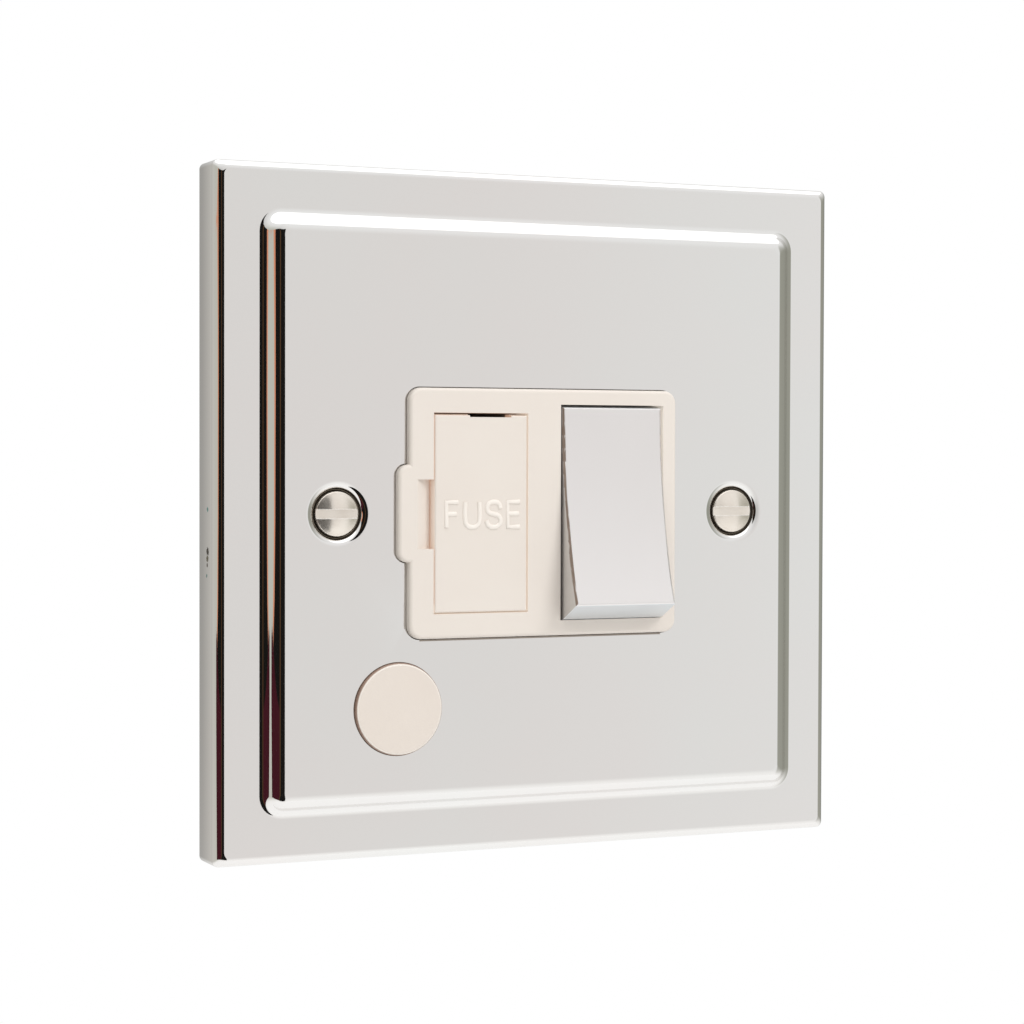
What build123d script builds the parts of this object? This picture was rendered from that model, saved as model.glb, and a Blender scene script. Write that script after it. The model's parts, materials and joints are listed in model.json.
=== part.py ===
from build123d import *
from math import cos, radians, sin, sqrt, tan
import os

os.makedirs("parts", exist_ok=True)

# Switched fused connection unit with flex outlet, single gang. Millimetres.
# X runs to the right, Z up and Y into the wall, and the wall plane is Y = 0.
# A level is a distance in front of the wall plane: below zero it lies inside the wall box.

# Face plate, pressed from sheet
plate_size = 93.4
plate_depth = 6.8
sheet = 1.2
plate_corner = 1.5
edge_round = 1.3
panel_size = 79.5
panel_rise = 1.7
panel_corner = 2.3
step_slope = 60.0
step_round = 1.6
stud_r = 1.5
stud_length = 4.4
stud_x = 11.0

# Fixing screws, M3.5 raised countersunk, at the standard wall-box centres
fixing_centres = 60.3
fixing_r = 1.75
fixing_neck_r = 1.6
fixing_hole_r = 2.0
fixing_reach = 22.0
fixing_head_r = 3.5
fixing_dome = 0.95
fixing_slot = 1.1
fixing_slot_depth = 0.75
dimple_r = 4.55
dimple_round = 0.5
seat_gap = 0.07

# Insert that stands through the plate
insert_width = 40.5
insert_height = 34.0
insert_corner = 1.8
insert_proud = 1.2
insert_round = 0.5
tab_reach = 1.6
tab_height = 13.2
tab_corner = 1.5
insert_gap = 0.15
flange_width = 48.0
flange_edge = 0.7
flange_thick = 2.0
flange_notch_x = -14.0
well_rear = 2.0
well_wall = 1.9
well_web = 8.0

# Fuse carrier and its well
carrier_x = -9.78
carrier_well_width = 14.04
carrier_well_height = 27.3
carrier_gap = 0.17
carrier_top_gap = 0.32
carrier_face_thick = 2.3
carrier_round = 0.25
carrier_relief = 0.8
relief_width = 6.2
relief_x = 1.4
cradle_height = 11.0
cradle_rear = -3.6
leg_thick = 1.3
leg_height = 9.0
leg_rear = -8.5
nib_reach = 0.5
nib_length = 1.4
nib_height = 3.6
nib_gap = 0.15
carrier_travel = 14.5
pry_width = 2.4
pry_height = 9.4
pry_depth = 1.6
pry_lift = -0.1

# Cartridge fuse, 25.4 x 6.3
fuse_level = -2.0
fuse_length = 25.4
cap_r = 3.15
cap_length = 5.0
cap_wall = 0.23
cap_end = 0.5
barrel_r = 2.9
barrel_gap = 0.06
cradle_mouth = 5.2
cradle_window = 10.0
cradle_web = 0.8

# Rocker, drawn level and then tipped to OFF
rocker_x = 10.18
rocker_well_width = 15.95
rocker_well_height = 29.8
rocker_well_flare = 0.6
rocker_flare_depth = 1.6
rocker_width = 15.4
rocker_tilt = 9.27
pivot_level = 6.2
rocker_front = 5.8
rocker_half = 13.8
rocker_dish = 1.1
rocker_swing_r = 15.24
rocker_shoulder = 1.37
rocker_rear = 1.4
rocker_wall = 1.4
rocker_round = 0.35
trunnion_r = 1.75
trunnion_reach = 1.5
trunnion_gap = 0.06
trunnion_end_gap = 0.2
trunnion_boss_r = 2.6

# Plungers and springs in the rocker's tubes
pole_spacing = 8.0
plunger_r = 1.5
plunger_gap = 0.05
plunger_reach = 11.5
tube_r = 2.5
tube_end = 7.0
tube_seat = 1.6
plunger_length = 8.3
spring_r = 1.35
spring_bore_r = 0.75
spring_wire = 0.35
spring_turns = 5

# See-saw contact arms
arm_level = -9.2
arm_ratio = 0.8
arm_width = 5.0
arm_upper = 11.2
arm_lower = 8.0
arm_front = 1.6
arm_back = 0.3
arm_shoulder = 2.6
arm_waist = 3.6
arm_gap = 0.3
fulcrum_r = 1.2
fulcrum_gap = 0.06
tip_r = 1.5
tip_height = 0.8
tip_z = 9.4
contact_gap = 0.12

# Moulded base
base_width = 47.0
base_front = 2.0
base_rear = -15.0
core_height = 38.0
base_corner = 0.9
base_lip = 0.5
ledge_rear = -4.0
rib_rear = -13.5
rib_thick = 1.5
floor_level = -12.8
fuse_cavity_margin = 0.7
fuse_cavity_height = 27.6
pole_cavity_width = 7.4
pole_cavity_height = 29.0
notch_x = -11.2
notch_z = -19.4

# Terminals and the blades that serve them
terminal_width = 7.5
terminal_depth = 8.0
terminal_rear = -13.5
terminal_chamfer = 0.3
line_terminal_x = 5.0
neutral_terminal_x = 15.5
load_terminal_x = -5.5
earth_width = 13.4
earth_pitch = 6.6
wire_r = 2.1
wire_depth = 6.5
wire_level = -7.6
blade_thick = 0.9
blade_width = 4.0
blade_gap = 0.06

# Screws of the terminals, the module and the cord clamp
terminal_screw_r = 1.6
terminal_head_r = 2.6
terminal_head = 1.8
terminal_open = 1.0
module_screw_r = 1.25
module_head_r = 2.4
module_head = 1.4
module_edge = 2.5
module_screw_z = 12.5
module_boss_r = 2.6
module_grip = 4.5
module_sink = 2.0
clamp_screw_r = 1.5
clamp_head_r = 2.5
clamp_head = 1.7
screw_slot = 0.8
screw_gap = 0.06
head_gap = 0.18

# Fuse clips
clip_height = 4.0
clip_z = 10.2
clip_thick = 0.7
clip_gap = 0.05
clip_front = 0.4
clip_lip = 0.6

# Earth strap and push-on washers
strap_thick = 1.0
strap_width = 5.0
strap_gap = 0.1
strap_bend = 0.9
washer_r = 2.5
washer_thick = 0.5
washer_gap = 0.3

# Flex outlet, its blank and the cord clamp behind it
outlet_x = -21.5
outlet_z = -26.4
outlet_hole_r = 5.5
blank_r = 6.25
blank_head = 0.75
blank_round = 0.4
blank_skirt_r = 5.35
blank_wall = 1.1
blank_bead = 0.5
blank_bead_height = 0.9
blank_skirt = 2.2
blank_slit = 1.6
cord_r = 3.8
clamp_front = -1.0
clamp_depth = 7.0
clamp_width = 20.2
clamp_screw_pitch = 14.8
clamp_bite = 3.0
clamp_thick = 2.0
clamp_grip = 0.6
clamp_sink = 3.7
clamp_corner = 2.5

# Levels and sizes that follow
panel_front = plate_depth + panel_rise
panel_back = panel_front - sheet
face_level = panel_front + insert_proud
flange_back = panel_back - flange_thick
step_taper = 90.0 - step_slope
fuse_cavity_width = carrier_well_width + 2 * fuse_cavity_margin
carrier_width = carrier_well_width - 2 * carrier_gap
carrier_top = carrier_well_height / 2 - carrier_top_gap
line_x = rocker_x - pole_spacing / 2
neutral_x = rocker_x + pole_spacing / 2
blade_front = floor_level + blade_thick
terminal_z = core_height / 2 + strap_thick
stud_z = terminal_z + washer_gap + washer_r
flange_height = 2 * (stud_z + washer_r + flange_edge)
terminal_end = terminal_z + terminal_depth
base_height = 2 * (terminal_end + base_lip)
pad_z = outlet_z + cord_r
module_screw_x = base_width / 2 - module_edge


def level(distance):
    """Plane parallel to the wall, facing the room, at a distance in front of it."""
    return Plane.XZ.offset(distance)


def tipped(x, pivot, angle):
    """Section plane facing +X, its first axis into the wall, turned about the pivot line."""
    into_wall = Vector(0, 1, 0).rotate(Axis.X, angle)
    return Plane(origin=(x, -pivot, 0), x_dir=into_wall, z_dir=(1, 0, 0))


def along_tube(x, distance):
    """Plane square to a plunger's tube at OFF, at a distance behind the rocker's pivot."""
    off = tipped(x, pivot_level, -rocker_tilt)
    return Plane(origin=off.origin + off.x_dir * distance, z_dir=off.x_dir)


def pressed_form(inset):
    """Solid under the pressed sheet: inset 0 gives its outer face, inset sheet the hollow behind it."""
    lean = inset * tan(radians(step_slope / 2))
    outer = plate_size - 2 * inset
    panel = panel_size - 2 * lean
    with BuildPart() as form:
        with BuildSketch(level(0)):
            RectangleRounded(outer, outer, plate_corner - inset)
        extrude(amount=plate_depth - inset)
        fillet(form.faces().sort_by(Axis.Y)[0].edges(), edge_round - inset)
        with BuildSketch(level(plate_depth - inset)):
            RectangleRounded(panel, panel, panel_corner - lean)
        extrude(amount=panel_rise, taper=step_taper)
        border = form.faces().filter_by(Axis.Y).sort_by(Axis.Y)[1]
        fillet(border.inner_wires()[0].edges(), step_round + inset)
        fillet(form.faces().sort_by(Axis.Y)[0].edges(), step_round - inset)
    return form.part


def insert_outline(margin):
    """Outline of the insert where it passes the plate, with a margin all round."""
    with BuildSketch() as outline:
        RectangleRounded(insert_width + 2 * margin, insert_height + 2 * margin, insert_corner + margin)
        with Locations((-insert_width / 2 - tab_reach - margin, 0)):
            RectangleRounded(
                4 * tab_reach, tab_height + 2 * margin, tab_corner + margin, align=(Align.MIN, Align.CENTER)
            )
    return outline.sketch


def slotted_screw(head_r, head, shank_r, length):
    """Pan-head screw: the head stands above the origin and the shank runs down the Z axis."""
    with BuildPart() as screw:
        with BuildSketch(Plane.XY):
            Circle(head_r)
        extrude(amount=head)
        chamfer(screw.edges().sort_by(Axis.Z)[-1], head / 4)
        with BuildSketch(Plane.XY):
            Circle(shank_r)
        extrude(amount=-length)
        chamfer(screw.edges().sort_by(Axis.Z)[0], shank_r / 4)
        with Locations((0, 0, head)):
            Box(3 * head_r, screw_slot, head, mode=Mode.SUBTRACT)
    return screw.part


# Face plate: pressed shell with the insert's aperture, dimpled holes, the flex outlet and welded studs
with BuildPart() as front_plate:
    add(pressed_form(0))
    add(pressed_form(sheet), mode=Mode.SUBTRACT)
    dimple_depth = dimple_r - fixing_hole_r
    back_lap = sheet * sqrt(2)
    for side in (-1, 1):
        with Locations(Plane(origin=(side * fixing_centres / 2, -panel_back, 0), z_dir=(0, 1, 0))):
            Cone(
                dimple_r - sheet + back_lap,
                fixing_hole_r + back_lap,
                dimple_depth - sheet,
                align=(Align.CENTER, Align.CENTER, Align.MIN),
            )
        with Locations(Plane(origin=(side * fixing_centres / 2, -panel_front, 0), z_dir=(0, -1, 0))):
            CounterSinkHole(fixing_hole_r, dimple_r, depth=3 * dimple_depth, counter_sink_angle=90)
    circles = front_plate.edges().filter_by(GeomType.CIRCLE)
    fillet(circles.filter_by(lambda rim: abs(rim.radius - dimple_r) < seat_gap), dimple_round)
    with BuildSketch(level(panel_back)):
        add(insert_outline(insert_gap))
        with Locations((outlet_x, outlet_z)):
            Circle(outlet_hole_r)
    extrude(amount=2 * sheet, both=True, mode=Mode.SUBTRACT)
    with BuildSketch(level(panel_back)):
        with GridLocations(2 * stud_x, 2 * stud_z, 2, 2):
            Circle(stud_r)
    extrude(amount=-stud_length)
front_plate.part.label = "front_plate"
export_step(front_plate.part, "parts/front_plate.step")

# Insert: rim through the plate, flange behind it, and the two wells
with BuildPart() as front_insert:
    with BuildSketch(level(flange_back)):
        add(insert_outline(0))
    extrude(amount=face_level - flange_back)
    fillet(front_insert.faces().sort_by(Axis.Y)[0].edges(), insert_round)
    with BuildSketch(level(flange_back)):
        RectangleRounded(flange_width, flange_height, insert_corner)
        with Locations((flange_notch_x, notch_z)):
            Rectangle(flange_width, flange_height, align=(Align.MAX, Align.MAX), mode=Mode.SUBTRACT)
        with GridLocations(2 * stud_x, 2 * stud_z, 2, 2):
            Circle(stud_r + screw_gap, mode=Mode.SUBTRACT)
    extrude(amount=flange_thick)
    with BuildSketch(level(well_rear)):
        with Locations((carrier_x, 0)):
            Rectangle(carrier_well_width + 2 * (nib_reach + well_wall), insert_height)
        with Locations((rocker_x, 0)):
            Rectangle(
                rocker_well_width + 2 * well_wall,
                rocker_well_height + 2 * (rocker_well_flare + well_wall),
            )
        with GridLocations(2 * module_screw_x, 2 * module_screw_z, 2, 2):
            Circle(module_boss_r)
        Rectangle(well_web, insert_height)
    extrude(amount=flange_back - well_rear)
    with BuildSketch(level(well_rear)):
        with Locations((carrier_x, 0)):
            Rectangle(carrier_well_width, carrier_well_height)
    extrude(amount=face_level - well_rear, mode=Mode.SUBTRACT)
    # Grooves that let the carrier's nibs run and stop them at the end of the travel
    groove_front = leg_rear + nib_length + carrier_travel + nib_gap
    with BuildSketch(level(well_rear)):
        with Locations((carrier_x, 0)):
            Rectangle(carrier_well_width + 2 * (nib_reach + nib_gap), nib_height + 2 * nib_gap)
    extrude(amount=groove_front - well_rear, mode=Mode.SUBTRACT)
    # Ramp beside the carrier for the tip of a screwdriver
    with BuildSketch(Plane.XY.offset(pry_lift - pry_height / 2)):
        with BuildLine():
            well_edge = carrier_x - carrier_well_width / 2
            Polyline(
                (well_edge - pry_width, -face_level),
                (well_edge, -face_level),
                (well_edge, pry_depth - face_level),
                close=True,
            )
        make_face()
    extrude(amount=pry_height, mode=Mode.SUBTRACT)
    # Rocker well, flared behind its mouth so that the rocker's ends can swing
    mouth = rocker_well_height / 2
    with BuildSketch(tipped(rocker_x, 0, 0)):
        with BuildLine():
            Polyline(
                (-face_level, -mouth),
                (-face_level, mouth),
                (rocker_flare_depth - face_level, mouth + rocker_well_flare),
                (-well_rear, mouth + rocker_well_flare),
                (-well_rear, -mouth - rocker_well_flare),
                (rocker_flare_depth - face_level, -mouth - rocker_well_flare),
                close=True,
            )
        make_face()
    extrude(amount=rocker_well_width / 2, both=True, mode=Mode.SUBTRACT)
    with BuildSketch(tipped(rocker_x, pivot_level, 0)):
        Circle(trunnion_r + trunnion_gap)
    trunnion_span = rocker_width / 2 + trunnion_reach + trunnion_end_gap
    extrude(amount=trunnion_span, both=True, mode=Mode.SUBTRACT)
    with BuildSketch(level(well_rear)):
        with GridLocations(2 * module_screw_x, 2 * module_screw_z, 2, 2):
            Circle(module_screw_r + screw_gap)
    extrude(amount=module_grip, mode=Mode.SUBTRACT)
front_insert.part.label = "front_insert"
export_step(front_insert.part, "parts/front_insert.step")

# Base: moulded block with a ledge for the terminals, their ribs, the cavities and the cord clamp's pad
rib_span = terminal_end - core_height / 2
with BuildPart() as rear_base:
    with BuildSketch(level(base_rear)):
        Rectangle(base_width, core_height)
    extrude(amount=base_front - base_rear)
    with BuildSketch(level(ledge_rear)):
        Rectangle(base_width, base_height)
        with Locations((notch_x, notch_z)):
            Rectangle(base_width, base_height, align=(Align.MAX, Align.MAX), mode=Mode.SUBTRACT)
    extrude(amount=base_front - ledge_rear)
    between_poles = (line_terminal_x + neutral_terminal_x) / 2
    ends_right = neutral_terminal_x + terminal_width / 2 + rib_thick
    with BuildSketch(level(rib_rear)):
        for x in (-stud_x - earth_width / 2 - rib_thick, -rib_thick, between_poles, ends_right):
            with Locations((x, core_height / 2)):
                Rectangle(rib_thick, rib_span, align=(Align.CENTER, Align.MIN))
        for x in (notch_x + rib_thick / 2, rib_thick / 2, between_poles, ends_right):
            with Locations((x, -core_height / 2)):
                Rectangle(rib_thick, rib_span, align=(Align.CENTER, Align.MAX))
    extrude(amount=ledge_rear - rib_rear)
    fillet(rear_base.edges().filter_by(Axis.Y).group_by(SortBy.LENGTH)[-1], base_corner)
    # Pad of the cord clamp, beside the flex outlet
    pad_height = rib_thick - core_height / 2 - pad_z
    with BuildSketch(level(clamp_front - clamp_depth)):
        with Locations((outlet_x, pad_z)):
            Rectangle(clamp_width, pad_height, align=(Align.CENTER, Align.MIN))
    extrude(amount=clamp_depth)
    with BuildSketch(level(floor_level)):
        with Locations((carrier_x, 0)):
            Rectangle(fuse_cavity_width, fuse_cavity_height)
        with Locations((line_x, 0), (neutral_x, 0)):
            Rectangle(pole_cavity_width, pole_cavity_height)
    extrude(amount=base_front - floor_level, mode=Mode.SUBTRACT)
    # Slots on the cavities' floor for the blades that lead to the terminals and between the poles
    slot_width = blade_width + 2 * blade_gap
    with BuildSketch(level(floor_level)):
        with Locations((line_x, 0), (neutral_x, 0)):
            Rectangle(slot_width, core_height, align=(Align.CENTER, Align.MIN))
        with Locations((neutral_x, 0), (carrier_x, 0)):
            Rectangle(slot_width, core_height, align=(Align.CENTER, Align.MAX))
        with Locations((carrier_x, 0)):
            Rectangle(line_x - carrier_x, slot_width, align=(Align.MIN, Align.CENTER))
    extrude(amount=blade_thick + blade_gap, mode=Mode.SUBTRACT)
    # Passage for the earth strap
    with BuildSketch(level(ledge_rear)):
        with Locations((-stud_x, core_height / 2)):
            Rectangle(strap_width + 2 * strap_gap, strap_thick + strap_gap, align=(Align.CENTER, Align.MIN))
    extrude(amount=base_front - ledge_rear, mode=Mode.SUBTRACT)
    for x in (-module_screw_x, module_screw_x):
        for z in (-module_screw_z, module_screw_z):
            with Locations(Plane(origin=(x, -base_rear, z), z_dir=(0, 1, 0))):
                CounterBoreHole(module_screw_r + screw_gap, module_head_r + head_gap, module_sink)
    # Pilot holes of the cord clamp's screws
    with BuildSketch(Plane.XY.offset(pad_z)):
        with Locations((outlet_x, clamp_depth / 2 - clamp_front)):
            with GridLocations(clamp_screw_pitch, 0, 2, 1):
                Circle(clamp_screw_r + screw_gap)
    extrude(amount=clamp_bite, mode=Mode.SUBTRACT)
rear_base.part.label = "rear_base"
export_step(rear_base.part, "parts/rear_base.step")

# Terminal blocks: drawn brass, with a wire hole from the unit's edge and a clamping screw from the back
terminals = {
    "terminal_line_in": (line_terminal_x, 1, terminal_width, [0]),
    "terminal_neutral_in": (neutral_terminal_x, 1, terminal_width, [0]),
    "terminal_line_out": (load_terminal_x, -1, terminal_width, [0]),
    "terminal_neutral_out": (neutral_terminal_x, -1, terminal_width, [0]),
    "terminal_earth": (-stud_x, 1, earth_width, [-earth_pitch / 2, earth_pitch / 2]),
}
screw_places = []
for name, (x, side, width, holes) in terminals.items():
    middle_z = side * (terminal_z + terminal_depth / 2)
    with BuildPart() as terminal:
        with BuildSketch(level(terminal_rear)):
            with Locations((x, middle_z)):
                Rectangle(width, terminal_depth)
        extrude(amount=ledge_rear - terminal_rear)
        chamfer(terminal.faces().sort_by(Axis.Y)[-1].edges(), terminal_chamfer)
        for shift in holes:
            with Locations(Plane(origin=(x + shift, -wire_level, side * terminal_end), z_dir=(0, 0, side))):
                Hole(wire_r, depth=wire_depth)
            with Locations(Plane(origin=(x + shift, -terminal_rear, middle_z), z_dir=(0, 1, 0))):
                Hole(terminal_screw_r + screw_gap, depth=wire_level - terminal_rear)
            head_place = (x + shift, terminal_open - terminal_rear, middle_z)
            screw_places.append(Plane(origin=head_place, z_dir=(0, 1, 0)))
    terminal.part.label = name
    export_step(terminal.part, f"parts/{name}.step")

# Terminal screws, left open as delivered, their tips just clear of the wire holes
terminal_screw_length = terminal_open + (wire_level - wire_r) - terminal_rear - screw_gap
with BuildPart() as terminal_screws:
    with Locations(*screw_places):
        add(slotted_screw(terminal_head_r, terminal_head, terminal_screw_r, terminal_screw_length))
terminal_screws.part.label = "terminal_screws"
export_step(terminal_screws.part, "parts/terminal_screws.step")

# Fixed contact blades: strips on the base's floor from the supply terminals, each with a contact rivet
arm_rest = arm_ratio * rocker_tilt
lean_sin = sin(radians(arm_rest))
lean_cos = cos(radians(arm_rest))
closed_level = arm_level - (tip_z + tip_r) * lean_sin - (tip_height - arm_back) * lean_cos
blade_end = terminal_z
for name, x in (("contact_blade_line", line_x), ("contact_blade_neutral", neutral_x)):
    with BuildPart() as blade:
        with BuildSketch(level(floor_level)):
            with Locations((x, tip_z - blade_width / 2)):
                Rectangle(blade_width, blade_end - tip_z + blade_width / 2, align=(Align.CENTER, Align.MIN))
        extrude(amount=blade_thick)
        with BuildSketch(level(blade_front)):
            with Locations((x, tip_z)):
                Circle(tip_r)
        extrude(amount=closed_level - contact_gap - blade_front)
    blade.part.label = name
    export_step(blade.part, f"parts/{name}.step")

# Neutral pivot blade: strip from the fulcrum of the neutral arm down to the load terminal
with BuildPart() as pivot_blade_neutral:
    with BuildSketch(level(floor_level)):
        with Locations((neutral_x, blade_width / 2)):
            Rectangle(blade_width, blade_end + blade_width / 2, align=(Align.CENTER, Align.MAX))
    extrude(amount=blade_thick)
    with BuildSketch(tipped(neutral_x, arm_level, 0)):
        Circle(fulcrum_r)
        Rectangle(arm_level - blade_front, 2 * fulcrum_r, align=(Align.MIN, Align.CENTER))
    extrude(amount=blade_width / 2, both=True)
pivot_blade_neutral.part.label = "pivot_blade_neutral"
export_step(pivot_blade_neutral.part, "parts/pivot_blade_neutral.step")


def clip_section(z):
    """Spring clip for one fuse cap, standing on the base's floor and open to the front."""
    with BuildPart() as clip:
        with BuildSketch(Plane.XY.offset(z - clip_height / 2)):
            inner = cap_r + clip_gap
            outer = inner + clip_thick
            with Locations((carrier_x, -floor_level)):
                Rectangle(2 * outer, blade_thick, align=(Align.CENTER, Align.MAX))
            for side in (-1, 1):
                with BuildLine():
                    Polyline(
                        (carrier_x + side * inner, -floor_level),
                        (carrier_x + side * inner, -clip_front),
                        (carrier_x + side * (inner + clip_lip), -clip_front - clip_lip),
                        (carrier_x + side * (outer + clip_lip), -clip_front),
                        (carrier_x + side * outer, clip_lip - clip_front),
                        (carrier_x + side * outer, -floor_level),
                        close=True,
                    )
                make_face()
        extrude(amount=clip_height)
    return clip.part


# Supply clip: fuse clip, bridge strip and the fulcrum of the line arm in one stamping
with BuildPart() as fuse_clip_supply:
    add(clip_section(clip_z))
    with BuildSketch(level(floor_level)):
        with Locations((carrier_x - blade_width / 2, 0)):
            Rectangle(line_x - carrier_x + blade_width, blade_width, align=(Align.MIN, Align.CENTER))
        with Locations((carrier_x, 0)):
            Rectangle(blade_width, clip_z, align=(Align.CENTER, Align.MIN))
    extrude(amount=blade_thick)
    with BuildSketch(tipped(line_x, arm_level, 0)):
        Circle(fulcrum_r)
        Rectangle(arm_level - blade_front, 2 * fulcrum_r, align=(Align.MIN, Align.CENTER))
    extrude(amount=blade_width / 2, both=True)
fuse_clip_supply.part.label = "fuse_clip_supply"
export_step(fuse_clip_supply.part, "parts/fuse_clip_supply.step")

# Load clip: fuse clip with the strip that leads down to the load terminal
with BuildPart() as fuse_clip_load:
    add(clip_section(-clip_z))
    with BuildSketch(level(floor_level)):
        with Locations((carrier_x, -blade_end)):
            Rectangle(blade_width, blade_end - clip_z, align=(Align.CENTER, Align.MIN))
    extrude(amount=blade_thick)
fuse_clip_load.part.label = "fuse_clip_load"
export_step(fuse_clip_load.part, "parts/fuse_clip_load.step")

# Earth strap: bent strip from the plate's stud, through the ledge, to the earth terminal
strap_foot = stud_z + washer_r + strap_gap
with BuildPart() as earth_strap:
    with BuildSketch(tipped(-stud_x, 0, 0)) as bend:
        with BuildLine():
            Polyline(
                (-terminal_rear, core_height / 2),
                (-flange_back, core_height / 2),
                (-flange_back, strap_foot),
                (strap_thick - flange_back, strap_foot),
                (strap_thick - flange_back, core_height / 2 + strap_thick),
                (-terminal_rear, core_height / 2 + strap_thick),
                close=True,
            )
        make_face()
        fillet(bend.vertices().sort_by_distance((0, -flange_back, core_height / 2))[0], strap_bend)
    extrude(amount=strap_width / 2, both=True)
    with BuildSketch(level(flange_back - strap_thick)):
        with Locations((-stud_x, stud_z)):
            Circle(stud_r + screw_gap)
    extrude(amount=strap_thick, mode=Mode.SUBTRACT)
earth_strap.part.label = "earth_strap"
export_step(earth_strap.part, "parts/earth_strap.step")

# Push-on washers that hold the insert to the plate's studs, one of them over the earth strap's eye
with BuildPart() as retaining_washers:
    for x, z, seat in (
        (-stud_x, stud_z, flange_back - strap_thick),
        (stud_x, stud_z, flange_back),
        (-stud_x, -stud_z, flange_back),
        (stud_x, -stud_z, flange_back),
    ):
        with BuildSketch(level(seat)):
            with Locations((x, z)):
                Circle(washer_r)
                Circle(stud_r + screw_gap / 2, mode=Mode.SUBTRACT)
        extrude(amount=-washer_thick)
retaining_washers.part.label = "retaining_washers"
export_step(retaining_washers.part, "parts/retaining_washers.step")

# Module screws: join the base to the bosses of the insert
module_seat = base_rear + module_sink
module_length = well_rear + module_grip - module_seat - screw_gap
with BuildPart() as module_screws:
    for x in (-module_screw_x, module_screw_x):
        for z in (-module_screw_z, module_screw_z):
            with Locations(Plane(origin=(x, -module_seat, z), z_dir=(0, 1, 0))):
                add(slotted_screw(module_head_r, module_head, module_screw_r, module_length))
module_screws.part.label = "module_screws"
export_step(module_screws.part, "parts/module_screws.step")

# Fixing screws: raised countersunk heads in the plate's dimples, full shank behind the wall plane
rim_level = panel_front - (dimple_r - fixing_head_r) + seat_gap
with BuildPart() as fixing_screw:
    with BuildSketch(Plane.XY):
        with BuildLine():
            crown = TangentArc((0, -rim_level - fixing_dome), (fixing_head_r, -rim_level), tangent=(1, 0))
            Polyline(
                crown @ 1,
                (fixing_neck_r, fixing_head_r - fixing_neck_r - rim_level),
                (fixing_neck_r, 0),
                (fixing_r, 0),
                (fixing_r, fixing_reach - fixing_r / 2),
                (fixing_r / 2, fixing_reach),
                (0, fixing_reach),
                crown @ 0,
            )
        make_face()
    revolve(axis=Axis.Y)
    with Locations((0, -rim_level - fixing_dome, 0)):
        Box(3 * fixing_head_r, 2 * fixing_slot_depth, fixing_slot, mode=Mode.SUBTRACT)
with BuildPart() as fixing_screws:
    with GridLocations(fixing_centres, 0, 2, 1):
        add(fixing_screw.part)
fixing_screws.part.label = "fixing_screws"
export_step(fixing_screws.part, "parts/fixing_screws.step")

# Blank in the flex outlet: low disc with a slit skirt that snaps behind the plate
skirt_end = panel_back - blank_skirt
with BuildPart() as flex_outlet_blank:
    with BuildSketch(Plane.XY):
        with BuildLine():
            Polyline(
                (0, -panel_front - blank_head),
                (blank_r, -panel_front - blank_head),
                (blank_r, -panel_front),
                (blank_skirt_r, -panel_front),
                (blank_skirt_r, -panel_back),
                (blank_skirt_r + blank_bead, -panel_back),
                (blank_skirt_r, blank_bead_height - panel_back),
                (blank_skirt_r, -skirt_end),
                (blank_skirt_r - blank_wall, -skirt_end),
                (blank_skirt_r - blank_wall, blank_head - panel_front),
                (0, blank_head - panel_front),
                close=True,
            )
        make_face()
    revolve(axis=Axis.Y)
    fillet(flex_outlet_blank.edges().sort_by(Axis.Y)[0], blank_round)
    with BuildSketch(level(skirt_end)):
        Rectangle(3 * blank_r, blank_slit)
        Rectangle(blank_slit, 3 * blank_r)
    extrude(amount=blank_skirt, mode=Mode.SUBTRACT)
    flex_outlet_blank.part.move(Location((outlet_x, 0, outlet_z)))
flex_outlet_blank.part.label = "flex_outlet_blank"
export_step(flex_outlet_blank.part, "parts/flex_outlet_blank.step")

# Cord clamp: saddle bar under the base's pad, with a round-bottomed way for the flex
saddle_top = pad_z - clamp_grip
saddle_bottom = outlet_z - cord_r - clamp_thick
clamp_middle = clamp_front - clamp_depth / 2
with BuildPart() as cord_clamp:
    with BuildSketch(level(clamp_front - clamp_depth)) as saddle:
        with Locations((outlet_x, saddle_bottom)):
            Rectangle(clamp_width, saddle_top - saddle_bottom, align=(Align.CENTER, Align.MIN))
        fillet(saddle.vertices().group_by(Axis.Y)[0], clamp_corner)
        with Locations((outlet_x, outlet_z)):
            Circle(cord_r, mode=Mode.SUBTRACT)
            Rectangle(2 * cord_r, 2 * cord_r, align=(Align.CENTER, Align.MIN), mode=Mode.SUBTRACT)
    extrude(amount=clamp_depth)
    for x in (outlet_x - clamp_screw_pitch / 2, outlet_x + clamp_screw_pitch / 2):
        with Locations(Plane(origin=(x, -clamp_middle, saddle_bottom), z_dir=(0, 0, -1))):
            CounterBoreHole(clamp_screw_r + screw_gap, clamp_head_r + head_gap, clamp_sink)
cord_clamp.part.label = "cord_clamp"
export_step(cord_clamp.part, "parts/cord_clamp.step")

clamp_seat = saddle_bottom + clamp_sink
clamp_screw_length = pad_z + clamp_bite - clamp_seat - screw_gap
with BuildPart() as cord_clamp_screws:
    for x in (outlet_x - clamp_screw_pitch / 2, outlet_x + clamp_screw_pitch / 2):
        with Locations(Plane(origin=(x, -clamp_middle, clamp_seat), z_dir=(0, 0, -1))):
            add(slotted_screw(clamp_head_r, clamp_head, clamp_screw_r, clamp_screw_length))
cord_clamp_screws.part.label = "cord_clamp_screws"
export_step(cord_clamp_screws.part, "parts/cord_clamp_screws.step")

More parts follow.
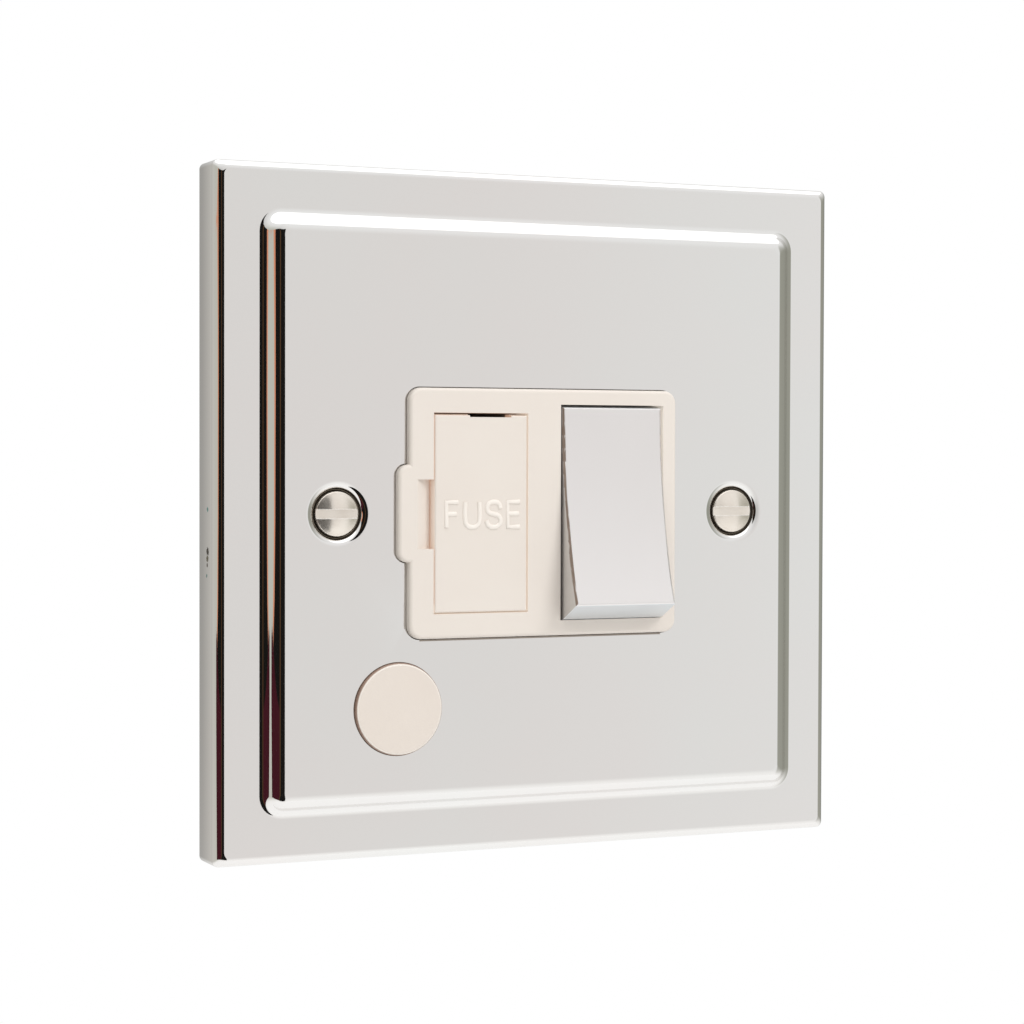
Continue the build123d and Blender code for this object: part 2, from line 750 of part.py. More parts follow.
# Rocker: hollow chromed moulding on two trunnions, with a tube behind it for each plunger
shoulder_z = sqrt(rocker_swing_r**2 - rocker_shoulder**2)
heel_z = sqrt(rocker_swing_r**2 - rocker_rear**2)
off_plane = tipped(rocker_x, pivot_level, -rocker_tilt)
tube_root = rocker_front - rocker_dish - rocker_wall / 2
with BuildPart() as rocker:
    with BuildSketch(off_plane) as side_view:
        with BuildLine():
            ThreePointArc(
                (-rocker_front, rocker_half), (rocker_dish - rocker_front, 0), (-rocker_front, -rocker_half)
            )
            Line((-rocker_front, -rocker_half), (-rocker_shoulder, -shoulder_z))
            ThreePointArc((-rocker_shoulder, -shoulder_z), (0, -rocker_swing_r), (rocker_rear, -heel_z))
            Line((rocker_rear, -heel_z), (rocker_rear, heel_z))
            ThreePointArc((rocker_rear, heel_z), (0, rocker_swing_r), (-rocker_shoulder, shoulder_z))
            Line((-rocker_shoulder, shoulder_z), (-rocker_front, rocker_half))
        make_face()
    extrude(amount=rocker_width / 2, both=True)
    front_face = rocker.faces().filter_by(GeomType.CYLINDER).sort_by(Axis.Y)[0]
    fillet(front_face.edges(), rocker_round)
    with BuildSketch(off_plane):
        add(side_view.sketch_local)
        offset(amount=-rocker_wall, mode=Mode.REPLACE)
        Rectangle(2 * rocker_rear, 2 * (rocker_half - rocker_wall))
    extrude(amount=rocker_width / 2 - rocker_wall, both=True, mode=Mode.SUBTRACT)
    for side in (-1, 1):
        with BuildSketch(off_plane.offset(side * (rocker_width / 2 - rocker_wall))):
            Circle(trunnion_boss_r)
        extrude(amount=side * rocker_wall)
    for side in (-1, 1):
        with BuildSketch(off_plane.offset(side * (rocker_width / 2 - rocker_wall))):
            Circle(trunnion_r)
        extrude(amount=side * (rocker_wall + trunnion_reach))
    for x in (line_x, neutral_x):
        with BuildSketch(along_tube(x, -tube_root)):
            Circle(tube_r)
        extrude(amount=tube_root + tube_end)
        with BuildSketch(along_tube(x, -tube_seat)):
            Circle(plunger_r + plunger_gap)
        extrude(amount=tube_seat + tube_end, mode=Mode.SUBTRACT)
rocker.part.label = "rocker"
export_step(rocker.part, "parts/rocker.step")

# Plungers: turned pins with a round nose, each pushed out of its tube by a small spring
plunger_head = plunger_reach - plunger_length
for name, x in (("plunger_line", line_x), ("plunger_neutral", neutral_x)):
    with BuildPart() as plunger:
        with BuildSketch(along_tube(x, plunger_head)):
            Circle(plunger_r)
        extrude(amount=plunger_length)
        with Locations(along_tube(x, plunger_reach)):
            Sphere(plunger_r)
    plunger.part.label = name
    export_step(plunger.part, f"parts/{name}.step")

# Springs, drawn as turned sleeves with one ridge for each turn of wire
spring_pitch = (tube_seat + plunger_head) / spring_turns
for name, x in (("spring_line", line_x), ("spring_neutral", neutral_x)):
    with BuildPart() as spring:
        with BuildSketch(tipped(x, pivot_level, -rocker_tilt)):
            with BuildLine():
                ridges = [(-tube_seat, spring_bore_r)]
                for turn in range(spring_turns):
                    start = turn * spring_pitch - tube_seat
                    ridges.append((start, spring_r - spring_wire))
                    ridges.append((start + spring_pitch / 2, spring_r))
                ridges.append((plunger_head, spring_r - spring_wire))
                ridges.append((plunger_head, spring_bore_r))
                Polyline(*ridges, close=True)
            make_face()
        tube_line = along_tube(x, 0)
        revolve(axis=Axis(tube_line.origin, tube_line.z_dir))
    spring.part.label = name
    export_step(spring.part, f"parts/{name}.step")

# Contact arms: see-saws on the fulcrums, dished so that the plunger keeps its distance all through
nose_gap = pivot_level - plunger_reach - arm_level
dish_front = nose_gap - plunger_r - arm_gap
nose_path_r = (plunger_reach - arm_ratio * nose_gap) ** 2 / (
    (1 + 2 * arm_ratio) * plunger_reach - arm_ratio**2 * nose_gap
)
dish_r = nose_path_r + plunger_r + arm_gap
horn = dish_front + dish_r - sqrt(dish_r**2 - arm_shoulder**2)
for name, x in (("contact_arm_line", line_x), ("contact_arm_neutral", neutral_x)):
    arm_plane = tipped(x, arm_level, arm_rest)
    with BuildPart() as arm:
        with BuildSketch(arm_plane):
            with BuildLine():
                ThreePointArc((-horn, arm_shoulder), (-dish_front, 0), (-horn, -arm_shoulder))
                Polyline(
                    (-horn, -arm_shoulder),
                    (-arm_front, -arm_waist),
                    (-arm_front, -arm_lower),
                    (-arm_back, -arm_lower),
                    (-arm_back, arm_upper),
                    (-arm_front, arm_upper),
                    (-arm_front, arm_waist),
                    (-horn, arm_shoulder),
                )
            make_face()
            Circle(fulcrum_r + fulcrum_gap, mode=Mode.SUBTRACT)
        extrude(amount=arm_width / 2, both=True)
        tip_centre = arm_plane.origin + arm_plane.y_dir * tip_z - arm_plane.x_dir * arm_back
        with BuildSketch(Plane(origin=tip_centre, z_dir=arm_plane.x_dir)):
            Circle(tip_r)
        extrude(amount=tip_height)
    arm.part.label = name
    export_step(arm.part, f"parts/{name}.step")

# Fuse carrier: captive drawer with a flush face, a snap cradle for the fuse and two nibbed legs
carrier_back = face_level - carrier_face_thick
carrier_half = carrier_well_height / 2 - carrier_gap
with BuildPart() as fuse_carrier:
    with BuildSketch(level(face_level - carrier_relief)):
        with Locations((carrier_x, -carrier_half)):
            Rectangle(carrier_width, carrier_half + carrier_top, align=(Align.CENTER, Align.MIN))
    extrude(amount=carrier_relief)
    fillet(fuse_carrier.faces().sort_by(Axis.Y)[0].edges(), carrier_round)
    with BuildSketch(level(carrier_back)):
        with Locations((carrier_x, 0)):
            Rectangle(carrier_width, 2 * carrier_half)
    extrude(amount=carrier_face_thick - carrier_relief)
    with BuildSketch(level(cradle_rear)):
        with Locations((carrier_x, 0)):
            Rectangle(carrier_width, cradle_height)
    extrude(amount=carrier_back - cradle_rear)
    with BuildSketch(level(leg_rear)):
        for side in (-1, 1):
            with Locations((carrier_x + side * (carrier_width - leg_thick) / 2, 0)):
                Rectangle(leg_thick, leg_height)
    extrude(amount=cradle_rear - leg_rear)
    with BuildSketch(level(leg_rear)):
        for side in (-1, 1):
            with Locations((carrier_x + side * (carrier_width + nib_reach - leg_thick) / 2, 0)):
                Rectangle(leg_thick + nib_reach, nib_height)
    extrude(amount=nib_length)
    # Deep part of the gap above the face
    with BuildSketch(level(carrier_back)):
        with Locations((carrier_x + relief_x, carrier_top - carrier_round)):
            Rectangle(relief_width, carrier_relief, align=(Align.CENTER, Align.MIN))
    extrude(amount=carrier_face_thick, mode=Mode.SUBTRACT)
    # Window behind the face, then the fuse's seat and the mouth it snaps in through
    window_rear = fuse_level + barrel_r + barrel_gap + cradle_web
    window_front = carrier_back - cradle_web
    with Locations((carrier_x, -(window_rear + window_front) / 2, 0)):
        Box(cradle_window, window_front - window_rear, cradle_height, mode=Mode.SUBTRACT)
    with BuildSketch(Plane.XY.offset(-cradle_height / 2)):
        with Locations((carrier_x, -fuse_level)):
            Circle(barrel_r + barrel_gap)
            Rectangle(cradle_mouth, fuse_level - leg_rear, align=(Align.CENTER, Align.MIN))
    extrude(amount=cradle_height, mode=Mode.SUBTRACT)
fuse_carrier.part.label = "fuse_carrier"
export_step(fuse_carrier.part, "parts/fuse_carrier.step")

# Cartridge fuse: ceramic barrel with a plated cap on each end
barrel_length = fuse_length - 2 * cap_end
with BuildPart() as fuse_barrel:
    with BuildSketch(Plane.XY.offset(-barrel_length / 2)):
        with Locations((carrier_x, -fuse_level)):
            Circle(barrel_r)
    extrude(amount=barrel_length)
fuse_barrel.part.label = "fuse_barrel"
export_step(fuse_barrel.part, "parts/fuse_barrel.step")

for name, side in (("fuse_cap_upper", 1), ("fuse_cap_lower", -1)):
    with BuildPart() as fuse_cap:
        with BuildSketch(Plane.XY.offset(side * fuse_length / 2)):
            with Locations((carrier_x, -fuse_level)):
                Circle(cap_r)
        extrude(amount=-side * cap_length)
        chamfer(fuse_cap.edges().sort_by(Axis.Z)[-1 if side > 0 else 0], cap_end / 2)
        with BuildSketch(Plane.XY.offset(side * (fuse_length / 2 - cap_end))):
            with Locations((carrier_x, -fuse_level)):
                Circle(cap_r - cap_wall)
        extrude(amount=-side * cap_length, mode=Mode.SUBTRACT)
    fuse_cap.part.label = name
    export_step(fuse_cap.part, f"parts/{name}.step")
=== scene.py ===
import json
from math import acos, copysign, cos, pi, radians, sin, tau

import bmesh
import bpy
from mathutils import Matrix, Vector


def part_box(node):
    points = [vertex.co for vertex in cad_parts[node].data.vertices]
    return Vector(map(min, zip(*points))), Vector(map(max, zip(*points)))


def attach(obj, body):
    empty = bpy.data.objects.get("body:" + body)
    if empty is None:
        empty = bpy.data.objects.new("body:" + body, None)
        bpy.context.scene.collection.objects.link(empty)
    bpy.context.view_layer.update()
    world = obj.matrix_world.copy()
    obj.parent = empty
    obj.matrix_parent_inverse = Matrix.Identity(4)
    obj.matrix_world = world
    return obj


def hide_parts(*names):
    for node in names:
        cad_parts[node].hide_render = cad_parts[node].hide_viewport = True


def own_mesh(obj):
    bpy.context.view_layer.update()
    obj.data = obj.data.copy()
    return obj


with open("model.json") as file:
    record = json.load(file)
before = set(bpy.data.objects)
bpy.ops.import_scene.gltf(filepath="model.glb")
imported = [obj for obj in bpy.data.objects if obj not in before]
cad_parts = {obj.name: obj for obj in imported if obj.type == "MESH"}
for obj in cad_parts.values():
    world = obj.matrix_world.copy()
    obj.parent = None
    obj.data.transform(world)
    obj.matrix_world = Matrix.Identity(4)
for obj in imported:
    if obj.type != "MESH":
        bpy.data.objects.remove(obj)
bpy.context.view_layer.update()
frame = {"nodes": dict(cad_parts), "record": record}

# Rear base: off-white phenolic moulding that carries the switch, the fuse clips and the terminals.
# It is moulded in a spark-eroded tool, so its skin is matt, a little cloudy, and rubbed on its edges.
MM = 0.001
MOTTLE_DETAIL = 3.0
MOTTLE_SPAN = (0.3, 0.7)
GRAIN_DETAIL = 2.0
EDGE_SAMPLES = 6
EDGE_SPAN = (0.995, 0.85)


def add_node(tree, kind, links=None, **settings):
    """Node of a kind with its settings, its inputs linked or set by name or number."""
    node = tree.nodes.new(kind)
    for key, value in settings.items():
        setattr(node, key, value)
    for key, value in (links or {}).items():
        if isinstance(value, bpy.types.NodeSocket):
            tree.links.new(value, node.inputs[key])
        else:
            node.inputs[key].default_value = value
    return node


def piece_place(tree):
    """Place on a piece, in the frame's metres."""
    return add_node(tree, "ShaderNodeTexCoord").outputs["Object"]


def noise(tree, scale, detail):
    """Noise over a piece, in grains of about one over scale metres."""
    pattern = {"Vector": piece_place(tree), "Scale": scale, "Detail": detail}
    return add_node(tree, "ShaderNodeTexNoise", pattern).outputs["Fac"]


def ramp(tree, value, start, end, low=0.0, high=1.0, **settings):
    """Value that goes from low to high as another goes from start to end."""
    limits = {"Value": value, "From Min": start, "From Max": end, "To Min": low, "To Max": high}
    return add_node(tree, "ShaderNodeMapRange", limits, **settings).outputs[0]


def vector_maths(tree, operation, first, second, output="Vector"):
    """Output of one operation on two vectors."""
    return add_node(tree, "ShaderNodeVectorMath", {0: first, 1: second}, operation=operation).outputs[output]


def shader_group(name, inputs, **outputs):
    """Empty node group with inputs (name to a number or a vector) and outputs (name to kind of socket)."""
    group = bpy.data.node_groups.new(name, "ShaderNodeTree")
    for socket, default in inputs.items():
        kind = "Float" if isinstance(default, float) else "Vector"
        made = group.interface.new_socket(name=socket, in_out="INPUT", socket_type="NodeSocket" + kind)
        made.default_value = default
    for socket, kind in outputs.items():
        group.interface.new_socket(name=socket, in_out="OUTPUT", socket_type="NodeSocket" + kind)
    return group, group.nodes.new("NodeGroupInput").outputs, group.nodes.new("NodeGroupOutput").inputs


def mottle_group():
    """Slow change over a surface from Low to High, in patches of about one over Scale metres."""
    group, given, out = shader_group("slow_mottle", {"Scale": 60.0, "Low": 0.0, "High": 1.0}, Value="Float")
    patches = noise(group, given["Scale"], MOTTLE_DETAIL)
    group.links.new(ramp(group, patches, *MOTTLE_SPAN, given["Low"], given["High"]), out["Value"])
    return group


def grain_group():
    """Fine even grain for a bump: a spark-eroded mould, a blasted or a drawn surface."""
    group, given, out = shader_group("fine_grain", {"Scale": 3000.0}, Height="Float")
    group.links.new(noise(group, given["Scale"], GRAIN_DETAIL), out["Height"])
    return group


def edge_group():
    """Mask of the sharp edges of a piece within a radius, and the normal of those edges slightly rounded."""
    group, given, out = shader_group("rubbed_edge", {"Radius": 0.2 * MM}, Mask="Float", Normal="Vector")
    rounded = add_node(group, "ShaderNodeBevel", {"Radius": given["Radius"]}, samples=EDGE_SAMPLES).outputs[0]
    straight = add_node(group, "ShaderNodeNewGeometry").outputs["Normal"]
    likeness = vector_maths(group, "DOT_PRODUCT", rounded, straight, output="Value")
    group.links.new(ramp(group, likeness, *EDGE_SPAN), out["Mask"])
    group.links.new(rounded, out["Normal"])
    return group


slow_mottle = mottle_group()
fine_grain = grain_group()
rubbed_edge = edge_group()


def new_material(name, **sockets):
    """Material with one Principled shader, its constant values set on the shader's own sockets."""
    made = bpy.data.materials.new(name)
    made.use_nodes = True
    shader = made.node_tree.nodes["Principled BSDF"]
    for socket, value in sockets.items():
        shader.inputs[socket.replace("_", " ")].default_value = value
    return made, made.node_tree, shader


def use_group(tree, group, **values):
    """Shader group placed in a material with its own values."""
    node = add_node(tree, "ShaderNodeGroup", node_tree=group)
    for socket, value in values.items():
        node.inputs[socket].default_value = value
    return node


def mix_colours(tree, mask, low, high):
    """Colour that goes from low to high with a mask; each is a colour or the output of a node."""
    mix = add_node(tree, "ShaderNodeMix", {"Factor": mask}, data_type="RGBA")
    for name, colour in (("A", low), ("B", high)):
        socket = next(s for s in mix.inputs if s.name == name and s.type == "RGBA")
        if isinstance(colour, bpy.types.NodeSocket):
            tree.links.new(colour, socket)
        else:
            socket.default_value = (*colour, 1)
    return next(s for s in mix.outputs if s.type == "RGBA")


def cloud_tint(tree, shader, low, high, scale):
    """Base colour that drifts slowly between two tints."""
    cloud = use_group(tree, slow_mottle, Scale=scale)
    colour = mix_colours(tree, cloud.outputs["Value"], low, high)
    tree.links.new(colour, shader.inputs["Base Color"])
    return colour


def cloud_gloss(tree, shader, low, high, scale):
    """Roughness that drifts slowly between two values."""
    cloud = use_group(tree, slow_mottle, Scale=scale, Low=low, High=high)
    tree.links.new(cloud.outputs["Value"], shader.inputs["Roughness"])


def grain_bump(tree, shader, distance, scale):
    """Bump from the fine grain."""
    height = use_group(tree, fine_grain, Scale=scale).outputs["Height"]
    bump = add_node(tree, "ShaderNodeBump", {"Height": height, "Distance": distance})
    tree.links.new(bump.outputs[0], shader.inputs["Normal"])
    return bump


def rub_edges(tree, shader, colour, rubbed, radius, bump=None):
    """Edges worn to another tint and slightly rounded, under the bump if there is one."""
    edge = use_group(tree, rubbed_edge, Radius=radius)
    edge_mark = mix_colours(tree, edge.outputs["Mask"], colour, rubbed)
    tree.links.new(edge_mark, shader.inputs["Base Color"])
    target = bump.inputs["Normal"] if bump else shader.inputs["Normal"]
    tree.links.new(edge.outputs["Normal"], target)


def dress(made, *names):
    """A finish on pieces of the frame."""
    for name in names:
        mesh = frame["nodes"][name].data
        mesh.materials.clear()
        mesh.materials.append(made)


base_skin, tree, shader = new_material("base_moulding")
colour = cloud_tint(tree, shader, low=(0.72, 0.71, 0.68), high=(0.78, 0.77, 0.745), scale=120.0)
cloud_gloss(tree, shader, low=0.45, high=0.62, scale=200.0)
bump = grain_bump(tree, shader, distance=0.012 * MM, scale=3500.0)
rub_edges(tree, shader, colour, rubbed=(0.83, 0.82, 0.80), radius=0.25 * MM, bump=bump)
dress(base_skin, "rear_base")

# Terminals, blades and clips: drawn bar and stamped strip, all of brass, set into the base.
# The brass is dulled in store and stays bright on its edges.
brass, tree, shader = new_material("stamped_brass", Metallic=1.0)
colour = cloud_tint(tree, shader, low=(0.68, 0.48, 0.20), high=(0.79, 0.60, 0.29), scale=350.0)
cloud_gloss(tree, shader, low=0.2, high=0.38, scale=500.0)
bump = grain_bump(tree, shader, distance=0.004 * MM, scale=2600.0)
rub_edges(tree, shader, colour, rubbed=(0.90, 0.74, 0.42), radius=0.12 * MM, bump=bump)
dress(
    brass,
    "terminal_line_in",
    "terminal_neutral_in",
    "terminal_line_out",
    "terminal_neutral_out",
    "terminal_earth",
    "contact_blade_line",
    "contact_blade_neutral",
    "pivot_blade_neutral",
    "fuse_clip_supply",
    "fuse_clip_load",
)

# Contact arms: see-saws stamped from the same brass strip.
# They rock on their blades when the plungers cross over.
dress(brass, "contact_arm_line", "contact_arm_neutral")

# Plungers: turned steel pins with a round nose, which slide in the rocker's tubes.
# A spring behind each presses its nose on a contact arm.
pin_steel, tree, shader = new_material("turned_steel", Metallic=1.0)
cloud_tint(tree, shader, low=(0.50, 0.50, 0.51), high=(0.60, 0.60, 0.61), scale=600.0)
cloud_gloss(tree, shader, low=0.16, high=0.3, scale=900.0)
dress(pin_steel, "plunger_line", "plunger_neutral")

# Plunger springs: five turns of round steel wire between the tube's seat and the plunger's head.
# They ride in the rocker.
WIRE_R = 0.175 * MM
SPRING_R = 1.35 * MM
COIL_R = SPRING_R - WIRE_R
COIL_TURNS = 5
STEPS_A_TURN = 28
WIRE_SIDES = 10
END_CLOSING = 0.07
SPRING_SEAT = 1.6 * MM
SPRING_END = 3.2 * MM
spring_steel, tree, shader = new_material("spring_steel", Metallic=1.0)
cloud_tint(tree, shader, low=(0.42, 0.42, 0.43), high=(0.52, 0.51, 0.50), scale=700.0)
cloud_gloss(tree, shader, low=0.22, high=0.34, scale=900.0)


def skin(shape, loops, closed=True):
    """Faces between each loop of points and the next; an open row isn't joined from its end to its start."""
    for first, second in zip(loops, loops[1:]):
        for step in range(len(first) if closed else len(first) - 1):
            after = (step + 1) % len(first)
            shape.faces.new((first[step], first[after], second[after], second[step]))


def mesh_from(shape, name):
    """Mesh of a finished shape, which is then freed."""
    mesh = bpy.data.meshes.new(name)
    shape.to_mesh(mesh)
    shape.free()
    return mesh


def new_piece(name, mesh, made):
    """Object of a mesh with a material, smooth, in the scene."""
    mesh.materials.clear()
    mesh.materials.append(made)
    mesh.shade_smooth()
    piece = bpy.data.objects.new(name, mesh)
    bpy.context.scene.collection.objects.link(piece)
    return piece


def coil_mesh(name, seat, axis):
    """Wire coil wound about an axis from its seat, with its last turns closed up at both ends."""
    side = Vector((1, 0, 0))
    other = axis.cross(side)
    length = SPRING_SEAT + SPRING_END - 2 * WIRE_R
    steps = COIL_TURNS * STEPS_A_TURN
    shape = bmesh.new()
    rings = []
    for step in range(steps + 1):
        turn = tau * step / STEPS_A_TURN
        share = step / steps
        advance = WIRE_R + length * (share - END_CLOSING * sin(tau * share))
        outward = side * cos(turn) + other * sin(turn)
        middle = seat + axis * advance + outward * COIL_R
        ring = []
        for corner in range(WIRE_SIDES):
            angle = tau * corner / WIRE_SIDES
            ring.append(shape.verts.new(middle + (outward * cos(angle) + axis * sin(angle)) * WIRE_R))
        rings.append(ring)
    skin(shape, rings)
    shape.faces.new(rings[0])
    shape.faces.new(reversed(rings[-1]))
    bmesh.ops.recalc_face_normals(shape, faces=shape.faces)
    return mesh_from(shape, name)


joints = {joint["name"]: joint for joint in frame["record"]["behaviour"]["joints"]}
pivot = Vector(joints["rocker_tilt"]["pos_m"])
for pole in ("line", "neutral"):
    low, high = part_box(f"spring_{pole}")
    axis = -Vector(joints[f"plunger_{pole}_press"]["axis"])
    seat = Vector(((low.x + high.x) / 2, pivot.y, pivot.z)) - axis * SPRING_SEAT
    coil = new_piece(f"coil_{pole}", coil_mesh(f"coil_{pole}", seat, axis), spring_steel)
    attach(coil, "rocker")
    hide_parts(f"spring_{pole}")
    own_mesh(coil)

# Rocker: hollow moulding on two trunnions, plated in satin chrome, with a dished face and a square lower end.
# A fine brown line, with less metal, is painted along its long left edge.
ROCKER_SIDE_PAINTED_SHADE = (0.72, 0.71, 0.70)
ROCKER_END_PAINTED_REFLECTION = (0.77, 0.80, 0.825)
ROCKER_EDGE = (0.24, 0.18, 0.145)


def maths(tree, operation, first, second=0.0):
    """Result of one operation on two values."""
    return add_node(tree, "ShaderNodeMath", {0: first, 1: second}, operation=operation).outputs[0]


def facing_group():
    """Mask for each axis of the faces by how far they face along it, either way, soft from Start to End."""
    group, given, out = shader_group("facing", {"Start": 0.0, "End": 1.0}, X="Float", Y="Float", Z="Float")
    normal = add_node(group, "ShaderNodeNewGeometry").outputs["Normal"]
    along = add_node(group, "ShaderNodeSeparateXYZ", {0: normal}).outputs
    for axis in "XYZ":
        share = maths(group, "ABSOLUTE", along[axis])
        group.links.new(ramp(group, share, given["Start"], given["End"]), out[axis])
    return group


def box_group():
    """Mask of what lies in a box between two corners."""
    group, given, out = shader_group("in_box", {"Low": (0, 0, 0), "High": (0, 0, 0)}, Mask="Float")
    place = piece_place(group)
    above = vector_maths(group, "SUBTRACT", place, given["Low"])
    below = vector_maths(group, "SUBTRACT", given["High"], place)
    spare = vector_maths(group, "MINIMUM", above, below)
    sides = add_node(group, "ShaderNodeSeparateXYZ", {0: spare}).outputs
    least = maths(group, "MINIMUM", maths(group, "MINIMUM", sides["X"], sides["Z"]), sides["Y"])
    group.links.new(maths(group, "GREATER_THAN", least, 0.0), out["Mask"])
    return group


facing = facing_group()
in_box = box_group()


def leaning(tree, axis, start, end):
    """Mask of the faces that lean along an axis, from the facing group."""
    return use_group(tree, facing, Start=start, End=end).outputs[axis]


rocker_low, rocker_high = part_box("rocker")
rocker_middle = Vector(((rocker_low.x + rocker_high.x) / 2, rocker_high.y, rocker_high.z))
rocker_satin, tree, shader = new_material("rocker_satin_chrome")
colour = cloud_tint(tree, shader, low=(0.875, 0.85, 0.85), high=(0.89, 0.865, 0.865), scale=60.0)
cloud_gloss(tree, shader, low=0.36, high=0.42, scale=90.0)
grain_bump(tree, shader, distance=0.0015 * MM, scale=6000.0)
# Painted shade darkens the rocker's sides, and a painted reflection gives its ends a cooler, bluer tint.
colour = mix_colours(tree, leaning(tree, "X", start=0.9, end=0.98), colour, ROCKER_SIDE_PAINTED_SHADE)
colour = mix_colours(tree, leaning(tree, "Z", start=0.55, end=0.7), colour, ROCKER_END_PAINTED_REFLECTION)
off_face = leaning(tree, "X", start=0.15, end=0.4)
off_side = leaning(tree, "X", start=0.97, end=0.85)
left_half = use_group(tree, in_box, Low=rocker_low, High=rocker_middle).outputs["Mask"]
edge_mark = maths(tree, "MULTIPLY", maths(tree, "MULTIPLY", off_face, off_side), left_half)
tree.links.new(mix_colours(tree, edge_mark, colour, ROCKER_EDGE), shader.inputs["Base Color"])
tree.links.new(ramp(tree, edge_mark, start=0.0, end=1.0, low=0.85, high=0.2), shader.inputs["Metallic"])
dress(rocker_satin, "rocker")

# Insert: ivory urea moulding that stands through the plate, with the wells of the carrier and the rocker.
# It is moulded in a finely eroded tool and held against the back of the plate by washers on the studs.
# It lets some light through; this is painted on the walls of its narrow gaps and of the rocker's well as a
# faint warm glow.
IVORY = (0.80, 0.735, 0.68)
IVORY_PALE = (0.815, 0.755, 0.70)
IVORY_GLOW = (0.12, 0.074, 0.052)
CARRIER_LIT = (0.162, 0.14, 0.118)
ROCKER_LIT = (0.29, 0.275, 0.245)
GAP_REACH = 0.6 * MM
GAP_DEPTH = 4.0 * MM
WALL_REACH = 1.2 * MM
ROCKER_WELL_HALF = 7.975 * MM
face_low, face_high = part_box("fuse_carrier")
gap_low = Vector((face_low.x - GAP_REACH, face_low.y - GAP_REACH, face_low.z - GAP_REACH))
gap_high = Vector((face_high.x + GAP_REACH, face_low.y + GAP_DEPTH, face_high.z + GAP_REACH))
right_low = Vector((face_high.x - WALL_REACH, gap_low.y, face_low.z))
lower_high = Vector((gap_high.x, gap_high.y, face_low.z + WALL_REACH))
well_right = rocker_middle.x + ROCKER_WELL_HALF
well_low = Vector((well_right - GAP_REACH, gap_low.y, gap_low.z - WALL_REACH))
well_high = Vector((well_right + GAP_REACH, gap_high.y, gap_high.z + WALL_REACH))
ivory, tree, shader = new_material("ivory_moulding", Emission_Strength=1.0)
cloud_tint(tree, shader, IVORY, IVORY_PALE, scale=90.0)
cloud_gloss(tree, shader, low=0.36, high=0.46, scale=160.0)
grain_bump(tree, shader, distance=0.004 * MM, scale=5200.0)
upright = leaning(tree, "Y", start=0.5, end=0.2)
glow = (0, 0, 0)
# Painted light: a faint emission on the gap walls about the carrier, stronger on its right and lower walls
# and on the right wall of the rocker's well.
for low, high, light in (
    (gap_low, gap_high, IVORY_GLOW),
    (right_low, gap_high, CARRIER_LIT),
    (gap_low, lower_high, CARRIER_LIT),
    (well_low, well_high, ROCKER_LIT),
):
    near = use_group(tree, in_box, Low=low, High=high).outputs["Mask"]
    glow = mix_colours(tree, maths(tree, "MULTIPLY", upright, near), glow, light)
tree.links.new(glow, shader.inputs["Emission Color"])
dress(ivory, "front_insert")

# Face plate: square of steel sheet, pressed with a raised panel and a rolled edge, then chrome plated.
# The press leaves its rim slightly barrelled. The plating has a few chips on the left rim and some dust,
# and there is painted shade in the screws' recesses, about the blank and under the insert.
RIM_FRONT = -5.4 * MM
RIM_BARREL = 0.5 * MM
SHEET = 1.2 * MM
RIM_ROUND = 1.3 * MM
RIM_CORNER = 0.8 * MM
BORDER_LEVEL = 6.8 * MM
FOOT_HALF = 40.68 * MM
FOOT_ROUND = 1.7 * MM
FOOT_CORNER = 3.2 * MM
BROW_ROUND = 2.3 * MM
BROW_CORNER = 0.9 * MM
SCREW_X = 30.15 * MM
LIP_ROUND = 1.4 * MM
LIP_LEAN = radians(48)
RECESS_R = 3.5 * MM
# Radius and depth of each turn of a recess, in millimetres.
RECESS = ((3.5, 0.95), (3.0, 0.95), (2.05, 1.9))
SEAM_X = 18.4 * MM
SEAM_Z = 17.35 * MM
SEAM_PAINTED_SHADE = (0.36, 0.31, 0.27)
DUST_COLOUR = (0.95, 0.94, 0.92)
CHIP_GRAIN = 5000.0
CHIP_SPAN = (1.1, 1.45)
MARKS_AND_SHADE_GLOSS = 0.6
# Depth, height and radius of each chip, in millimetres, and its colour.
CHIPS = (
    (-3.6, 0.6, 0.45, (0.10, 0.22, 0.20)),
    (-3.6, -5.0, 0.70, (0.035, 0.025, 0.015)),
    (-3.5, -5.9, 0.60, (0.10, 0.085, 0.05)),
    (-3.4, -6.8, 0.36, (0.05, 0.03, 0.02)),
    (-3.2, -8.2, 0.32, (0.08, 0.17, 0.16)),
)
# Middle across and up, inner and outer radius of each ring of painted shade, in millimetres, and its colour.
# The screws' rings are a dark painted shade over each recess with a paler painted line within it; the blank's
# is a thin painted shadow about its rim.
ROUND_MARKS = (
    (-30.15, 0.0, -1.0, 3.52, (0.040, 0.030, 0.020)),
    (-30.15, 0.0, 3.24, 3.33, (0.30, 0.25, 0.19)),
    (30.15, 0.0, -1.0, 3.52, (0.040, 0.030, 0.020)),
    (30.15, 0.0, 3.24, 3.33, (0.30, 0.25, 0.19)),
    (-21.5, -26.4, 6.0, 6.36, (0.13, 0.09, 0.065)),
)
BEND_STEPS = 16
CORNER_STEPS = 10
LIP_STEPS = 72
MERGE = 0.001 * MM
LEVEL_SLACK = 0.01 * MM
FRONT_FACING = -0.02
BACK_FACING = 0.9
FLAT_BACK = 0.999
PLATE_SHARP = radians(32)


def chip_group():
    """Ragged round spot of a given radius at a place."""
    inputs = {"X": 0.0, "Y": 0.0, "Z": 0.0, "Radius": 0.2 * MM}
    group, given, out = shader_group("plating_chip", inputs, Mask="Float")
    centre = add_node(group, "ShaderNodeCombineXYZ", {name: given[name] for name in "XYZ"}).outputs[0]
    away = vector_maths(group, "DISTANCE", piece_place(group), centre, output="Value")
    share = maths(group, "DIVIDE", away, given["Radius"])
    ragged = maths(group, "ADD", share, noise(group, CHIP_GRAIN, GRAIN_DETAIL))
    group.links.new(ramp(group, ragged, *CHIP_SPAN, low=1.0, high=0.0), out["Mask"])
    return group


